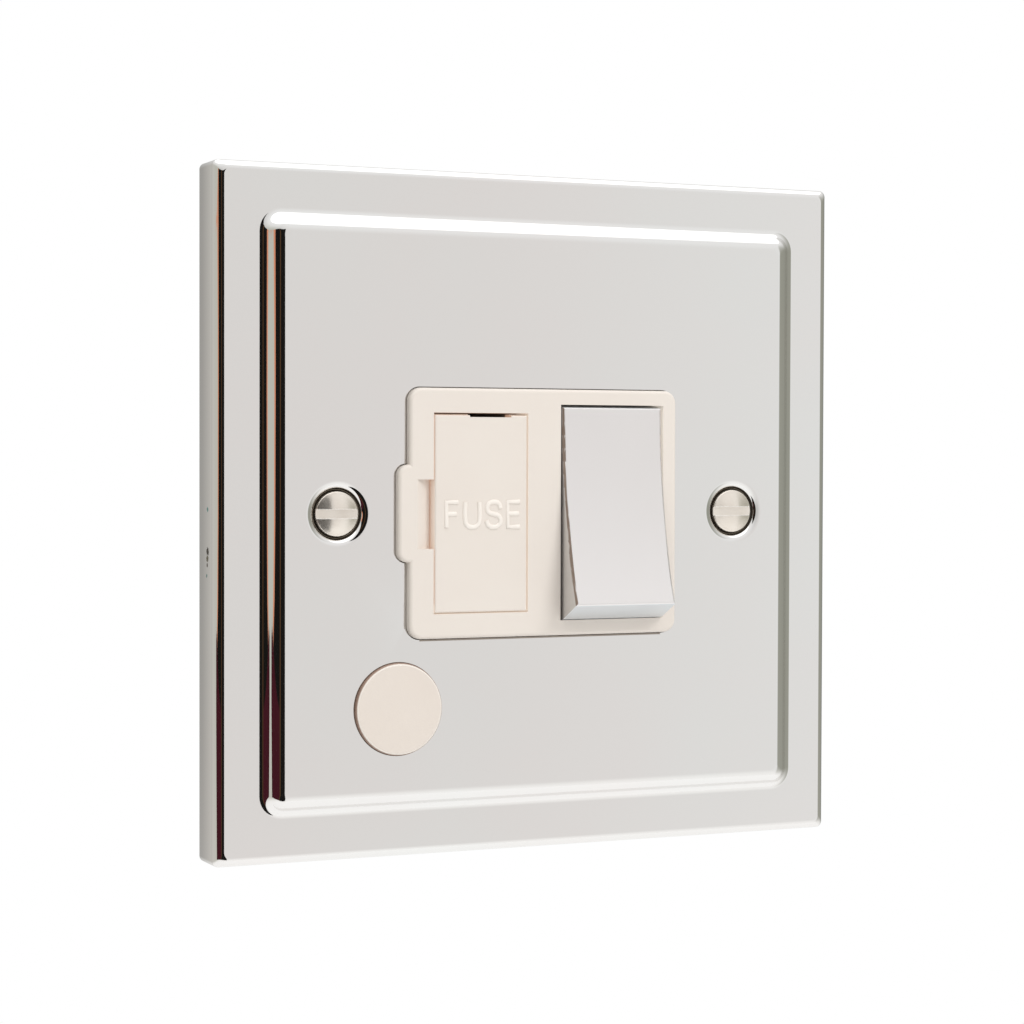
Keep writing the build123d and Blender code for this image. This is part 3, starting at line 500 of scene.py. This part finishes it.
def mark_group():
    """Round mark on the front between two radii from a place: painted shade in a recess or about a rim."""
    inputs = {"X": 0.0, "Z": 0.0, "Inner": 0.0, "Outer": 1.0 * MM}
    group, given, out = shader_group("round_mark", inputs, Mask="Float")
    across = vector_maths(group, "MULTIPLY", piece_place(group), (1, 0, 1))
    centre = add_node(group, "ShaderNodeCombineXYZ", {name: given[name] for name in "XZ"}).outputs[0]
    away = vector_maths(group, "DISTANCE", across, centre, output="Value")
    beyond = maths(group, "GREATER_THAN", away, given["Inner"])
    within = maths(group, "LESS_THAN", away, given["Outer"])
    group.links.new(maths(group, "MULTIPLY", beyond, within), out["Mask"])
    return group


def dust_group():
    """Sparse specks of dust, one in a few cells of a grid of about one over Scale metres."""
    group, given, out = shader_group("dust", {"Scale": 90.0, "Size": 0.012, "Share": 0.2}, Mask="Float")
    grid = {"Vector": piece_place(group), "Scale": given["Scale"]}
    cells = add_node(group, "ShaderNodeTexVoronoi", grid).outputs
    close = maths(group, "LESS_THAN", cells["Distance"], given["Size"])
    pick = add_node(group, "ShaderNodeSeparateColor", {0: cells["Color"]}).outputs[0]
    chosen = maths(group, "LESS_THAN", pick, given["Share"])
    group.links.new(maths(group, "MULTIPLY", close, chosen), out["Mask"])
    return group


plating_chip = chip_group()
round_mark = mark_group()
dust = dust_group()
plate_low, plate_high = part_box("front_plate")
plate_chrome, tree, shader = new_material("plate_chrome")
colour = cloud_tint(tree, shader, low=(0.845, 0.825, 0.815), high=(0.835, 0.84, 0.83), scale=28.0)
marks = []
for depth, up, radius, chip_colour in CHIPS:
    spot = use_group(tree, plating_chip, X=plate_low.x, Y=depth * MM, Z=up * MM, Radius=radius * MM)
    marks.append((spot, chip_colour))
for across, up, inner, outer, ring_shade in ROUND_MARKS:
    spot = use_group(tree, round_mark, X=across * MM, Z=up * MM, Inner=inner * MM, Outer=outer * MM)
    marks.append((spot, ring_shade))
# Painted shade: a dark strip on the plate along the seam under the insert's lower edge.
seam_low = Vector((-SEAM_X, plate_low.y - SHEET, -SEAM_Z))
marks.append((use_group(tree, in_box, Low=seam_low, High=Vector((SEAM_X, 0, 0))), SEAM_PAINTED_SHADE))
marks.append((use_group(tree, dust), DUST_COLOUR))
marks_and_shade = 0.0
for spot, mark_colour in marks:
    colour = mix_colours(tree, spot.outputs["Mask"], colour, mark_colour)
    marks_and_shade = maths(tree, "MAXIMUM", marks_and_shade, spot.outputs["Mask"])
tree.links.new(colour, shader.inputs["Base Color"])
tree.links.new(maths(tree, "SUBTRACT", 1.0, marks_and_shade), shader.inputs["Metallic"])
polish = use_group(tree, slow_mottle, Scale=45.0, Low=0.03, High=0.055).outputs["Value"]
gloss = ramp(tree, marks_and_shade, start=0.0, end=1.0, low=polish, high=MARKS_AND_SHADE_GLOSS)
tree.links.new(gloss, shader.inputs["Roughness"])
rim_depth = add_node(tree, "ShaderNodeSeparateXYZ", {0: piece_place(tree)}).outputs["Y"]
barrel = ramp(tree, rim_depth, start=RIM_FRONT, end=0.0, low=-0.5, high=0.5)
rolled = maths(tree, "MULTIPLY", maths(tree, "MULTIPLY", barrel, barrel), -RIM_BARREL)
bump = add_node(tree, "ShaderNodeBump", {"Height": rolled, "Distance": 1.0})
tree.links.new(bump.outputs[0], shader.inputs["Normal"])
dress(plate_chrome, "front_plate")


def arc(start, end):
    """Even angles along a bend, with both its ends."""
    return [start + (end - start) * step / BEND_STEPS for step in range(BEND_STEPS + 1)]


def square_loop(shape, half, level, corner):
    """Square loop with round corners at a level in front of the wall, half its width from the middle."""
    loop = []
    for quarter in range(4):
        turn = pi / 2 * quarter + pi / 4
        for step in range(CORNER_STEPS + 1):
            angle = pi / 2 * (quarter + step / CORNER_STEPS)
            x = copysign(half - corner, cos(turn)) + corner * cos(angle)
            z = copysign(half - corner, sin(turn)) + corner * sin(angle)
            loop.append(shape.verts.new((x, -level, z)))
    return loop


def round_loop(shape, centre_x, radius, level, steps):
    """Round loop about an axis along Y at a level in front of the wall."""
    loop = []
    for step in range(steps):
        angle = tau * step / steps
        loop.append(shape.verts.new((centre_x + radius * cos(angle), -level, radius * sin(angle))))
    return loop


def loop_edges(shape, loop):
    """Edges of a closed loop of points."""
    return [shape.edges.get(pair) for pair in zip(loop, loop[1:] + loop[:1])]


plate_half, front = plate_high.x, -plate_low.y
pressing = bmesh.new()
pressing.from_mesh(frame["nodes"]["front_plate"].data)
bmesh.ops.remove_doubles(pressing, verts=pressing.verts, dist=MERGE)
pressing.normal_update()
outside = []
for face in pressing.faces:
    middle = face.calc_center_median()
    at_rim = max(abs(middle.x), abs(middle.z)) > plate_half - SHEET
    outward = face.normal.x * middle.x + face.normal.z * middle.z > 0
    if face.normal.y < FRONT_FACING or at_rim and (outward or face.normal.y > BACK_FACING):
        outside.append(face)
bmesh.ops.delete(pressing, geom=outside, context="FACES")
openings, hem, holes = [], [], []
for edge in pressing.edges:
    if edge.is_boundary:
        level = -edge.verts[0].co.y
        at_front, at_wall = abs(level - front) < LEVEL_SLACK, abs(level) < LEVEL_SLACK
        (openings if at_front else hem if at_wall else holes).append(edge)
lean = acos(1 - (front - BORDER_LEVEL) / (FOOT_ROUND + BROW_ROUND))
brow_half = FOOT_HALF - (FOOT_ROUND + BROW_ROUND) * sin(lean)
profile = [(plate_half, 0.0)]
for angle in arc(pi / 2, 0):
    profile.append((plate_half - RIM_ROUND * (1 - sin(angle)), BORDER_LEVEL - RIM_ROUND * (1 - cos(angle))))
for angle in arc(0, lean):
    profile.append((FOOT_HALF - FOOT_ROUND * sin(angle), BORDER_LEVEL + FOOT_ROUND * (1 - cos(angle))))
for angle in arc(lean, 0)[1:]:
    profile.append((brow_half + BROW_ROUND * sin(angle), front - BROW_ROUND * (1 - cos(angle))))
loops = []
for reach, level in profile:
    corner = RIM_CORNER if reach > FOOT_HALF else max(BROW_CORNER, FOOT_CORNER + reach - FOOT_HALF)
    loops.append(square_loop(pressing, reach, level, corner))
skin(pressing, loops)
rim_edges = loop_edges(pressing, loops[0])
panel_edges = loop_edges(pressing, loops[-1])
bmesh.ops.bridge_loops(pressing, edges=rim_edges + hem)
panel_edges += openings
for centre_x in (-SCREW_X, SCREW_X):
    loops = []
    for angle in arc(0, LIP_LEAN):
        lip = RECESS_R + LIP_ROUND * (sin(LIP_LEAN) - sin(angle))
        loops.append(round_loop(pressing, centre_x, lip, front - LIP_ROUND * (1 - cos(angle)), LIP_STEPS))
    for radius, sunk in RECESS:
        loops.append(round_loop(pressing, centre_x, radius * MM, front - sunk * MM, LIP_STEPS))
    skin(pressing, loops)
    lip_edges = loop_edges(pressing, loops[0])
    recess_edges = loop_edges(pressing, loops[-1])
    hole = [edge for edge in holes if edge.verts[0].co.x * centre_x > 0]
    bmesh.ops.bridge_loops(pressing, edges=recess_edges + hole)
    panel_edges += lip_edges
bmesh.ops.triangle_fill(pressing, edges=panel_edges, use_beauty=True, normal=(0, -1, 0))
bmesh.ops.recalc_face_normals(pressing, faces=pressing.faces)
plate_mesh = mesh_from(pressing, "plate_pressing")
plate = new_piece("plate_pressing", plate_mesh, plate_chrome)
plate_mesh.set_sharp_from_angle(angle=PLATE_SHARP)
for polygon in plate_mesh.polygons:
    polygon.use_smooth = polygon.normal.y < FLAT_BACK
flats = plate.modifiers.new("flats", "WEIGHTED_NORMAL")
flats.keep_sharp = True
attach(plate, "housing")
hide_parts("front_plate")

# Screws, washers and earth strap behind the plate: steel, zinc plated, with a faint straw and blue tint.
# The washers hold the insert and the strap on the plate's studs, four screws hold the base to the insert,
# and six close the terminals.
zinc, tree, shader = new_material("zinc_plate", Metallic=1.0)
colour = cloud_tint(tree, shader, low=(0.66, 0.645, 0.59), high=(0.65, 0.67, 0.69), scale=260.0)
cloud_gloss(tree, shader, low=0.24, high=0.42, scale=420.0)
bump = grain_bump(tree, shader, distance=0.003 * MM, scale=2800.0)
rub_edges(tree, shader, colour, rubbed=(0.80, 0.80, 0.79), radius=0.1 * MM, bump=bump)
dress(zinc, "retaining_washers", "earth_strap", "module_screws", "terminal_screws")

# Cartridge fuse: glazed ceramic barrel filled with sand.
# A nickel-plated brass cap is pressed on each end.
ceramic, tree, shader = new_material("fuse_ceramic")
cloud_tint(tree, shader, low=(0.82, 0.81, 0.77), high=(0.88, 0.87, 0.84), scale=400.0)
cloud_gloss(tree, shader, low=0.22, high=0.36, scale=500.0)
dress(ceramic, "fuse_barrel")
cap_nickel, tree, shader = new_material("fuse_cap_nickel", Metallic=1.0)
colour = cloud_tint(tree, shader, low=(0.70, 0.68, 0.63), high=(0.76, 0.74, 0.70), scale=300.0)
cloud_gloss(tree, shader, low=0.16, high=0.3, scale=500.0)
rub_edges(tree, shader, colour, rubbed=(0.84, 0.80, 0.70), radius=0.12 * MM)
dress(cap_nickel, "fuse_cap_upper", "fuse_cap_lower")

# Fuse carrier: ivory drawer with a flush face, captive in its well by the nibs on its legs.
# Its face bears the raised word that tells what it holds, moulded with soft round strokes.
LETTER_HEIGHT = 3.42 * MM
LETTER_GAP = 1.06 * MM
STROKE_R = 0.33 * MM
STROKE_RISE = 0.2 * MM
WORD_X = 0.28 * MM
WORD_Z = -0.2 * MM
# Width of each letter in millimetres, and its strokes in shares of its width and height.
LETTERS = (
    ("F", 1.70, (((0, 0), (0, 1), (1, 1)), ((0, 0.53), (0.86, 0.53)))),
    ("U", 2.12, (((0, 1), (0, 0.34), (0.1, 0.1), (0.5, 0), (0.9, 0.1), (1, 0.34), (1, 1)),)),
    ("S", 2.10, (
        (
            (0.98, 0.74), (0.86, 0.93), (0.5, 1), (0.14, 0.92), (0.04, 0.74), (0.16, 0.59), (0.5, 0.52),
            (0.86, 0.44), (1, 0.27), (0.88, 0.08), (0.5, 0), (0.12, 0.08), (0, 0.27),
        ),
    )),
    ("E", 1.80, (((1, 1), (0, 1), (0, 0), (1, 0)), ((0, 0.53), (0.92, 0.53)))),
)
ROUND_LETTERS = "US"


def letter_strokes(name, left, width, strokes):
    """Curve whose round strokes draw one letter upright in X and Z."""
    curve = bpy.data.curves.new(name, "CURVE")
    curve.dimensions = "3D"
    curve.bevel_depth = STROKE_R
    curve.bevel_resolution = 4
    curve.resolution_u = 6
    curve.use_fill_caps = True
    bent = name in ROUND_LETTERS
    for stroke in strokes:
        spline = curve.splines.new("BEZIER" if bent else "POLY")
        points = spline.bezier_points if bent else spline.points
        points.add(len(stroke) - 1)
        for point, (across, up) in zip(points, stroke):
            place = (left + across * width, 0, (up - 0.5) * LETTER_HEIGHT)
            if bent:
                point.co = place
                point.handle_left_type = point.handle_right_type = "AUTO"
            else:
                point.co = (*place, 1)
    return curve


def worked_mesh(piece):
    """Mesh of an object in the scene with its bevel or modifiers applied."""
    bpy.context.view_layer.update()
    return bpy.data.meshes.new_from_object(piece.evaluated_get(bpy.context.evaluated_depsgraph_get()))


dress(ivory, "fuse_carrier")
word_width = sum(width for _, width, _ in LETTERS) * MM + LETTER_GAP * (len(LETTERS) - 1)
left = -word_width / 2
word = bmesh.new()
for name, width, strokes in LETTERS:
    sketch = bpy.data.objects.new(name, letter_strokes(name, left, width * MM, strokes))
    bpy.context.scene.collection.objects.link(sketch)
    word.from_mesh(worked_mesh(sketch))
    bpy.data.objects.remove(sketch)
    left += width * MM + LETTER_GAP
word_middle = Vector(((face_low.x + face_high.x) / 2 + WORD_X, face_low.y, WORD_Z))
flatten = Matrix.Diagonal((1, STROKE_RISE / STROKE_R, 1, 1))
bmesh.ops.transform(word, matrix=Matrix.Translation(word_middle) @ flatten, verts=word.verts)
# The strokes are paler than the face: a painted highlight on the raised word.
word_painted_highlight, tree, shader = new_material("word_painted_highlight")
cloud_tint(tree, shader, low=(0.90, 0.84, 0.785), high=(0.915, 0.86, 0.805), scale=90.0)
cloud_gloss(tree, shader, low=0.3, high=0.4, scale=160.0)
carrier_word = new_piece("carrier_word", mesh_from(word, "carrier_word"), word_painted_highlight)
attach(carrier_word, "fuse_drawer")

# Blank: ivory disc that snaps into the flex outlet until a flex is fitted.
# Its round edge has a pale painted highlight, and its side a brown painted shade.
BLANK_EDGE_PAINTED_HIGHLIGHT = (0.90, 0.85, 0.79)
BLANK_SIDE_PAINTED_SHADE = (0.36, 0.24, 0.19)
blank_low, blank_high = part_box("flex_outlet_blank")
head_high = Vector((blank_high.x, plate_low.y, blank_high.z))
blank_ivory, tree, shader = new_material("blank_ivory")
colour = cloud_tint(tree, shader, low=(0.78, 0.705, 0.645), high=(0.79, 0.72, 0.66), scale=90.0)
cloud_gloss(tree, shader, low=0.36, high=0.46, scale=160.0)
grain_bump(tree, shader, distance=0.004 * MM, scale=5200.0)
# Painted highlight on the round edge, and painted shade on the side of the head in front of the plate.
colour = mix_colours(tree, leaning(tree, "Y", start=0.985, end=0.93), colour, BLANK_EDGE_PAINTED_HIGHLIGHT)
in_front = use_group(tree, in_box, Low=blank_low, High=head_high).outputs["Mask"]
shaded_side = maths(tree, "MULTIPLY", leaning(tree, "Y", start=0.85, end=0.6), in_front)
tree.links.new(mix_colours(tree, shaded_side, colour, BLANK_SIDE_PAINTED_SHADE), shader.inputs["Base Color"])
dress(blank_ivory, "flex_outlet_blank")

# Cord clamp: saddle bar of the base's own moulding, behind the flex outlet.
# Two zinc-plated screws draw it up to the base.
dress(base_skin, "cord_clamp")
dress(zinc, "cord_clamp_screws")

# Fixing screws: raised countersunk brass, nickel plated, with a plain neck and a rolled M3.5 thread.
# The crown is turned, then saw-cut, and a screwdriver has rubbed the edges of the slot.
CROWN_RISE = 0.25 * MM
CROWN_R = 2.8 * MM
CROWN_DROP = 0.5 * MM
CROWN_STEPS = 8
SHOULDER_STEPS = 6
HEAD_R = 3.05 * MM
RIM_DROP = 0.75 * MM
HEAD_EDGE = 0.3 * MM
NECK_R = 1.55 * MM
NECK_END = 0.0
THREAD_R = 1.75 * MM
ROOT_R = 1.4 * MM
TIP_R = ROOT_R * 0.5
TIP_TAPER = 2.0
THREAD_PITCH = 0.6 * MM
ROWS_A_PITCH = 4
# Radius of the four rows of points along one pitch: root, flank, ridge and flank.
THREAD_ROWS = (ROOT_R, (THREAD_R + ROOT_R) / 2, THREAD_R, (THREAD_R + ROOT_R) / 2)
SLOT_WIDTH = 1.25 * MM
SLOT_DEPTH = 0.75 * MM
ROUND_STEPS = 64
SCREW_SHARP = radians(35)
nickel, tree, shader = new_material("screw_nickel", Metallic=0.88)
colour = cloud_tint(tree, shader, low=(0.84, 0.775, 0.70), high=(0.91, 0.855, 0.785), scale=420.0)
cloud_gloss(tree, shader, low=0.18, high=0.26, scale=700.0)
bump = grain_bump(tree, shader, distance=0.003 * MM, scale=2200.0)
rub_edges(tree, shader, colour, rubbed=(0.97, 0.95, 0.92), radius=0.15 * MM, bump=bump)


def screw_profile(tip):
    """Half section of the head and neck, as distances from the axis and behind the crown."""
    section = []
    for step in range(CROWN_STEPS + 1):
        share = step / CROWN_STEPS
        section.append((CROWN_R * share, CROWN_DROP * share * share))
    for step in range(1, SHOULDER_STEPS + 1):
        angle = pi / 2 * step / SHOULDER_STEPS
        shoulder = CROWN_R + (HEAD_R - CROWN_R) * sin(angle)
        section.append((shoulder, RIM_DROP - (RIM_DROP - CROWN_DROP) * cos(angle)))
    section.append((HEAD_R, RIM_DROP + HEAD_EDGE))
    section.append((NECK_R, RIM_DROP + HEAD_EDGE + HEAD_R - NECK_R))
    section.append((NECK_R, tip))
    return section


def sawn_head(name, crown):
    """Turned head and neck along Y, with the slot sawn across the crown."""
    head = bmesh.new()
    rings = []
    for radius, behind in screw_profile(NECK_END - crown):
        rings.append(round_loop(head, 0, radius, -(crown + behind), ROUND_STEPS))
    skin(head, rings)
    head.faces.new(rings[-1])
    bmesh.ops.remove_doubles(head, verts=head.verts, dist=MERGE)
    bmesh.ops.recalc_face_normals(head, faces=head.faces)
    saw = bmesh.new()
    bmesh.ops.create_cube(saw, size=1)
    cut = Matrix.Diagonal((4 * HEAD_R, 2 * SLOT_DEPTH, SLOT_WIDTH, 1))
    bmesh.ops.transform(saw, matrix=Matrix.Translation((0, crown, 0)) @ cut, verts=saw.verts)
    turned = bpy.data.objects.new(name, mesh_from(head, name))
    blade = bpy.data.objects.new("saw_cut", mesh_from(saw, "saw_cut"))
    for piece in (turned, blade):
        bpy.context.scene.collection.objects.link(piece)
    slot = turned.modifiers.new("slot", "BOOLEAN")
    slot.object = blade
    sawn = worked_mesh(turned)
    for piece in (turned, blade):
        bpy.data.objects.remove(piece)
    return sawn


def screw_mesh(name, centre_x, crown, tip):
    """Screw along Y: the sawn head and neck, and the thread as one helical surface."""
    screw = bmesh.new()
    screw.from_mesh(sawn_head(name, crown))
    length = tip - NECK_END
    rows = []
    for number in range((int(length / THREAD_PITCH) - 1) * ROWS_A_PITCH + 1):
        row = []
        for step in range(ROUND_STEPS + 1):
            share = step / ROUND_STEPS
            along = (number / ROWS_A_PITCH + share) * THREAD_PITCH
            end = min(1.0, TIP_TAPER * (length - along) / THREAD_R)
            radius = min(THREAD_ROWS[number % ROWS_A_PITCH], TIP_R + (THREAD_R - TIP_R) * end)
            angle = tau * share
            row.append(screw.verts.new((radius * cos(angle), NECK_END + along, radius * sin(angle))))
        rows.append(row)
    skin(screw, rows, closed=False)
    bmesh.ops.remove_doubles(screw, verts=screw.verts, dist=MERGE)
    bmesh.ops.holes_fill(screw, edges=screw.edges)
    bmesh.ops.recalc_face_normals(screw, faces=screw.faces)
    bmesh.ops.translate(screw, vec=(centre_x, 0, 0), verts=screw.verts)
    return mesh_from(screw, name)


screws_low, screws_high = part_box("fixing_screws")
head_r = (screws_high.z - screws_low.z) / 2
for side, centre_x in (("left", screws_low.x + head_r), ("right", screws_high.x - head_r)):
    mesh = screw_mesh(f"fixing_screw_{side}", centre_x, plate_low.y - CROWN_RISE, screws_high.y)
    screw = new_piece(f"fixing_screw_{side}", mesh, nickel)
    mesh.set_sharp_from_angle(angle=SCREW_SHARP)
    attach(screw, "housing")
    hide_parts("fixing_screws")

# Floor: a pale painted disc well below the unit, which shows its shadow.
# To the camera, mirrors and glass it is half its own paint and half plain white, so the shadow is faint.
FLOOR_R = 0.34
FLOOR_DROP = 0.30
FLOOR_SIDES = 128
FLOOR_WHITE = 0.5
floor_shape = bmesh.new()
bmesh.ops.create_circle(floor_shape, cap_ends=True, segments=FLOOR_SIDES, radius=FLOOR_R)
floor_paint, tree, shader = new_material("floor_paint", Roughness=0.8)
cloud_tint(tree, shader, low=(0.86, 0.86, 0.855), high=(0.88, 0.88, 0.875), scale=6.0)
rays = add_node(tree, "ShaderNodeLightPath").outputs
seen = maths(tree, "MAXIMUM", rays["Is Camera Ray"], rays["Is Glossy Ray"])
seen = maths(tree, "MAXIMUM", seen, rays["Is Transmission Ray"])
white_share = maths(tree, "MULTIPLY", seen, FLOOR_WHITE)
white = add_node(tree, "ShaderNodeEmission", {"Color": (1, 1, 1, 1), "Strength": 1.0})
lit = add_node(tree, "ShaderNodeMixShader", {0: white_share, 1: shader.outputs[0], 2: white.outputs[0]})
tree.links.new(lit.outputs[0], tree.nodes["Material Output"].inputs["Surface"])
floor = new_piece("floor", mesh_from(floor_shape, "floor"), floor_paint)
floor.location = (0, 0, -FLOOR_DROP)

# Dark cards: black cards beside the camera, which the rolled left edges of the plate mirror as dark lines.
# They have a brown stripe, a warm border and a wine-red foot, and only mirrors show them.
CARD_AHEAD = 100.0
CARD_RIGHT = -21.0
STRIPE = (-80.0, -68.0)
# Height of each row, outer and inner end of its border, in millimetres, and the border's colour.
CARD_ROWS = (
    (66.0, -280.0, -172.0, "border"),
    (50.0, -250.0, -172.0, "border"),
    (36.0, -220.0, -165.0, "border"),
    (20.0, -212.0, -162.0, "border"),
    (-5.0, -225.0, -172.0, "border"),
    (-22.0, -265.0, -200.0, "border"),
    (-36.0, -330.0, -270.0, "wine"),
    (-48.0, -480.0, -420.0, "wine"),
    (-66.0, -760.0, -700.0, "wine"),
    (-95.0, -760.0, -700.0, "wine"),
)
CARD_ARM = ((-165.0, 51.0), (-165.0, 53.0), (-1600.0, 181.0), (-1600.0, 174.0))
CARD_COLOURS = {
    "black": (0.010, 0.009, 0.008),
    "stripe": (0.085, 0.045, 0.022),
    "border": (0.70, 0.29, 0.17),
    "wine": (0.055, 0.010, 0.016),
}
card_slots = list(CARD_COLOURS)
card_shape = bmesh.new()
card_rows = []
for up, end, dark, _ in CARD_ROWS:
    stops = (end, dark, *STRIPE, CARD_RIGHT)
    card_rows.append([card_shape.verts.new((stop * MM, -CARD_AHEAD * MM, up * MM)) for stop in stops])
for upper, lower, (_, _, _, border) in zip(card_rows, card_rows[1:], CARD_ROWS):
    foot = "wine" if border == "wine" else "black"
    for number, paint_name in enumerate((border, foot, "stripe", "black")):
        face = card_shape.faces.new((upper[number], lower[number], lower[number + 1], upper[number + 1]))
        face.material_index = card_slots.index(paint_name)
arm = [card_shape.verts.new((across * MM, -CARD_AHEAD * MM, up * MM)) for across, up in CARD_ARM]
card_shape.faces.new(arm).material_index = card_slots.index("border")
card_mesh = mesh_from(card_shape, "dark_cards")
for name, colour in CARD_COLOURS.items():
    paint = bpy.data.materials.new(f"card_{name}")
    paint.use_nodes = True
    tree = paint.node_tree
    tree.nodes.remove(tree.nodes["Principled BSDF"])
    card_light = add_node(tree, "ShaderNodeEmission", {"Color": (*colour, 1), "Strength": 1.0})
    tree.links.new(card_light.outputs[0], tree.nodes["Material Output"].inputs["Surface"])
    card_mesh.materials.append(paint)
cards = bpy.data.objects.new("dark_cards", card_mesh)
bpy.context.scene.collection.objects.link(cards)
cards.visible_camera = False
cards.visible_diffuse = False
cards.visible_shadow = False

# Studio: a white room to the camera.
# To mirrors it has a soft panel on the right, muted sides, a bright top and a pale ground.
# Bearing of each stop of the walls in degrees, and its colour.
WALLS = (
    (-180, (0.34, 0.335, 0.32)),
    (-168, (0.38, 0.37, 0.35)),
    (-148, (0.60, 0.58, 0.54)),
    (-110, (0.58, 0.575, 0.53)),
    (-70, (0.56, 0.56, 0.49)),
    (-10, (0.62, 0.61, 0.60)),
    (12, (0.79, 0.77, 0.755)),
    (24, (0.82, 0.80, 0.785)),
    (34, (0.87, 0.87, 0.86)),
    (40, (0.87, 0.87, 0.86)),
    (46, (0.36, 0.36, 0.31)),
    (95, (0.33, 0.33, 0.285)),
    (120, (0.20, 0.21, 0.20)),
    (150, (0.62, 0.61, 0.58)),
    (180, (0.34, 0.335, 0.32)),
)
UPPER = (0.93, 0.925, 0.92)
UPPER_RISE = (4, 46)
CEILING = (1.6, 1.6, 1.58)
CEILING_RISE = (46, 53)
GROUND = (1.02, 1.015, 0.995)
GROUND_FALL = (-4, -38)
world = bpy.data.worlds.new("studio")
bpy.context.scene.world = world
world.use_nodes = True
tree = world.node_tree
ray_place = add_node(tree, "ShaderNodeTexCoord").outputs["Generated"]
axes = add_node(tree, "ShaderNodeSeparateXYZ", {0: ray_place}).outputs
bearing = maths(tree, "ARCTAN2", axes["X"], maths(tree, "MULTIPLY", axes["Y"], -1.0))
walls = add_node(tree, "ShaderNodeValToRGB", {0: ramp(tree, bearing, start=-pi, end=pi)})
while len(walls.color_ramp.elements) < len(WALLS):
    walls.color_ramp.elements.new(0.5)
for element, (degrees, colour) in zip(walls.color_ramp.elements, WALLS):
    element.position = (degrees + 180) / 360
    element.color = (*colour, 1)
room = walls.outputs[0]
for (start, end), colour in ((UPPER_RISE, UPPER), (CEILING_RISE, CEILING), (GROUND_FALL, GROUND)):
    heights = (sin(radians(start)), sin(radians(end)))
    risen = ramp(tree, axes["Z"], *heights, interpolation_type="SMOOTHSTEP")
    room = mix_colours(tree, risen, room, colour)
rays = add_node(tree, "ShaderNodeLightPath").outputs
room = mix_colours(tree, rays["Is Camera Ray"], room, (1, 1, 1))
tree.links.new(room, tree.nodes["Background"].inputs["Color"])

# Lamp: a large soft box above and to the right of the front, turned to the unit.
# Mirrors don't show it.
KEY_PLACE = Vector((0.34, -0.50, 0.52))
KEY_SIZE = 0.32
KEY_WATTS = 1.9
KEY_COLOUR = (1.0, 0.985, 0.965)
key_lamp = bpy.data.lights.new("key_box", "AREA")
key_lamp.size = KEY_SIZE
key_lamp.energy = KEY_WATTS
key_lamp.color = KEY_COLOUR
key_box = bpy.data.objects.new("key_box", key_lamp)
key_box.location = KEY_PLACE
key_box.rotation_euler = (-KEY_PLACE).to_track_quat("-Z", "Y").to_euler()
key_box.visible_glossy = False
bpy.context.scene.collection.objects.link(key_box)

# Camera: to the left of the unit, at about its own height, as the photograph was taken.
# Its place, turn and focal length come from a fit of the plate's edges, screws and openings.
CAMERA_PLACE = Vector((-0.14820, -0.32421, 0.00791))
CAMERA_YAW = radians(24.45)
CAMERA_PITCH = radians(1.291)
CAMERA_ROLL = radians(0.157)
FOCAL_PIXELS = 2522.2
IMAGE_PIXELS = 1024.0
camera_data = bpy.data.cameras.new("camera")
camera_data.lens = FOCAL_PIXELS / IMAGE_PIXELS * camera_data.sensor_width
camera = bpy.data.objects.new("camera", camera_data)
look = Vector((sin(CAMERA_YAW) * cos(CAMERA_PITCH), cos(CAMERA_YAW) * cos(CAMERA_PITCH), -sin(CAMERA_PITCH)))
aim = look.to_track_quat("-Z", "Y").to_matrix().to_4x4()
camera.matrix_world = Matrix.Translation(CAMERA_PLACE) @ aim @ Matrix.Rotation(CAMERA_ROLL, 4, "Z")
bpy.context.scene.collection.objects.link(camera)
bpy.context.scene.camera = camera
bpy.context.scene.view_settings.view_transform = "Standard"
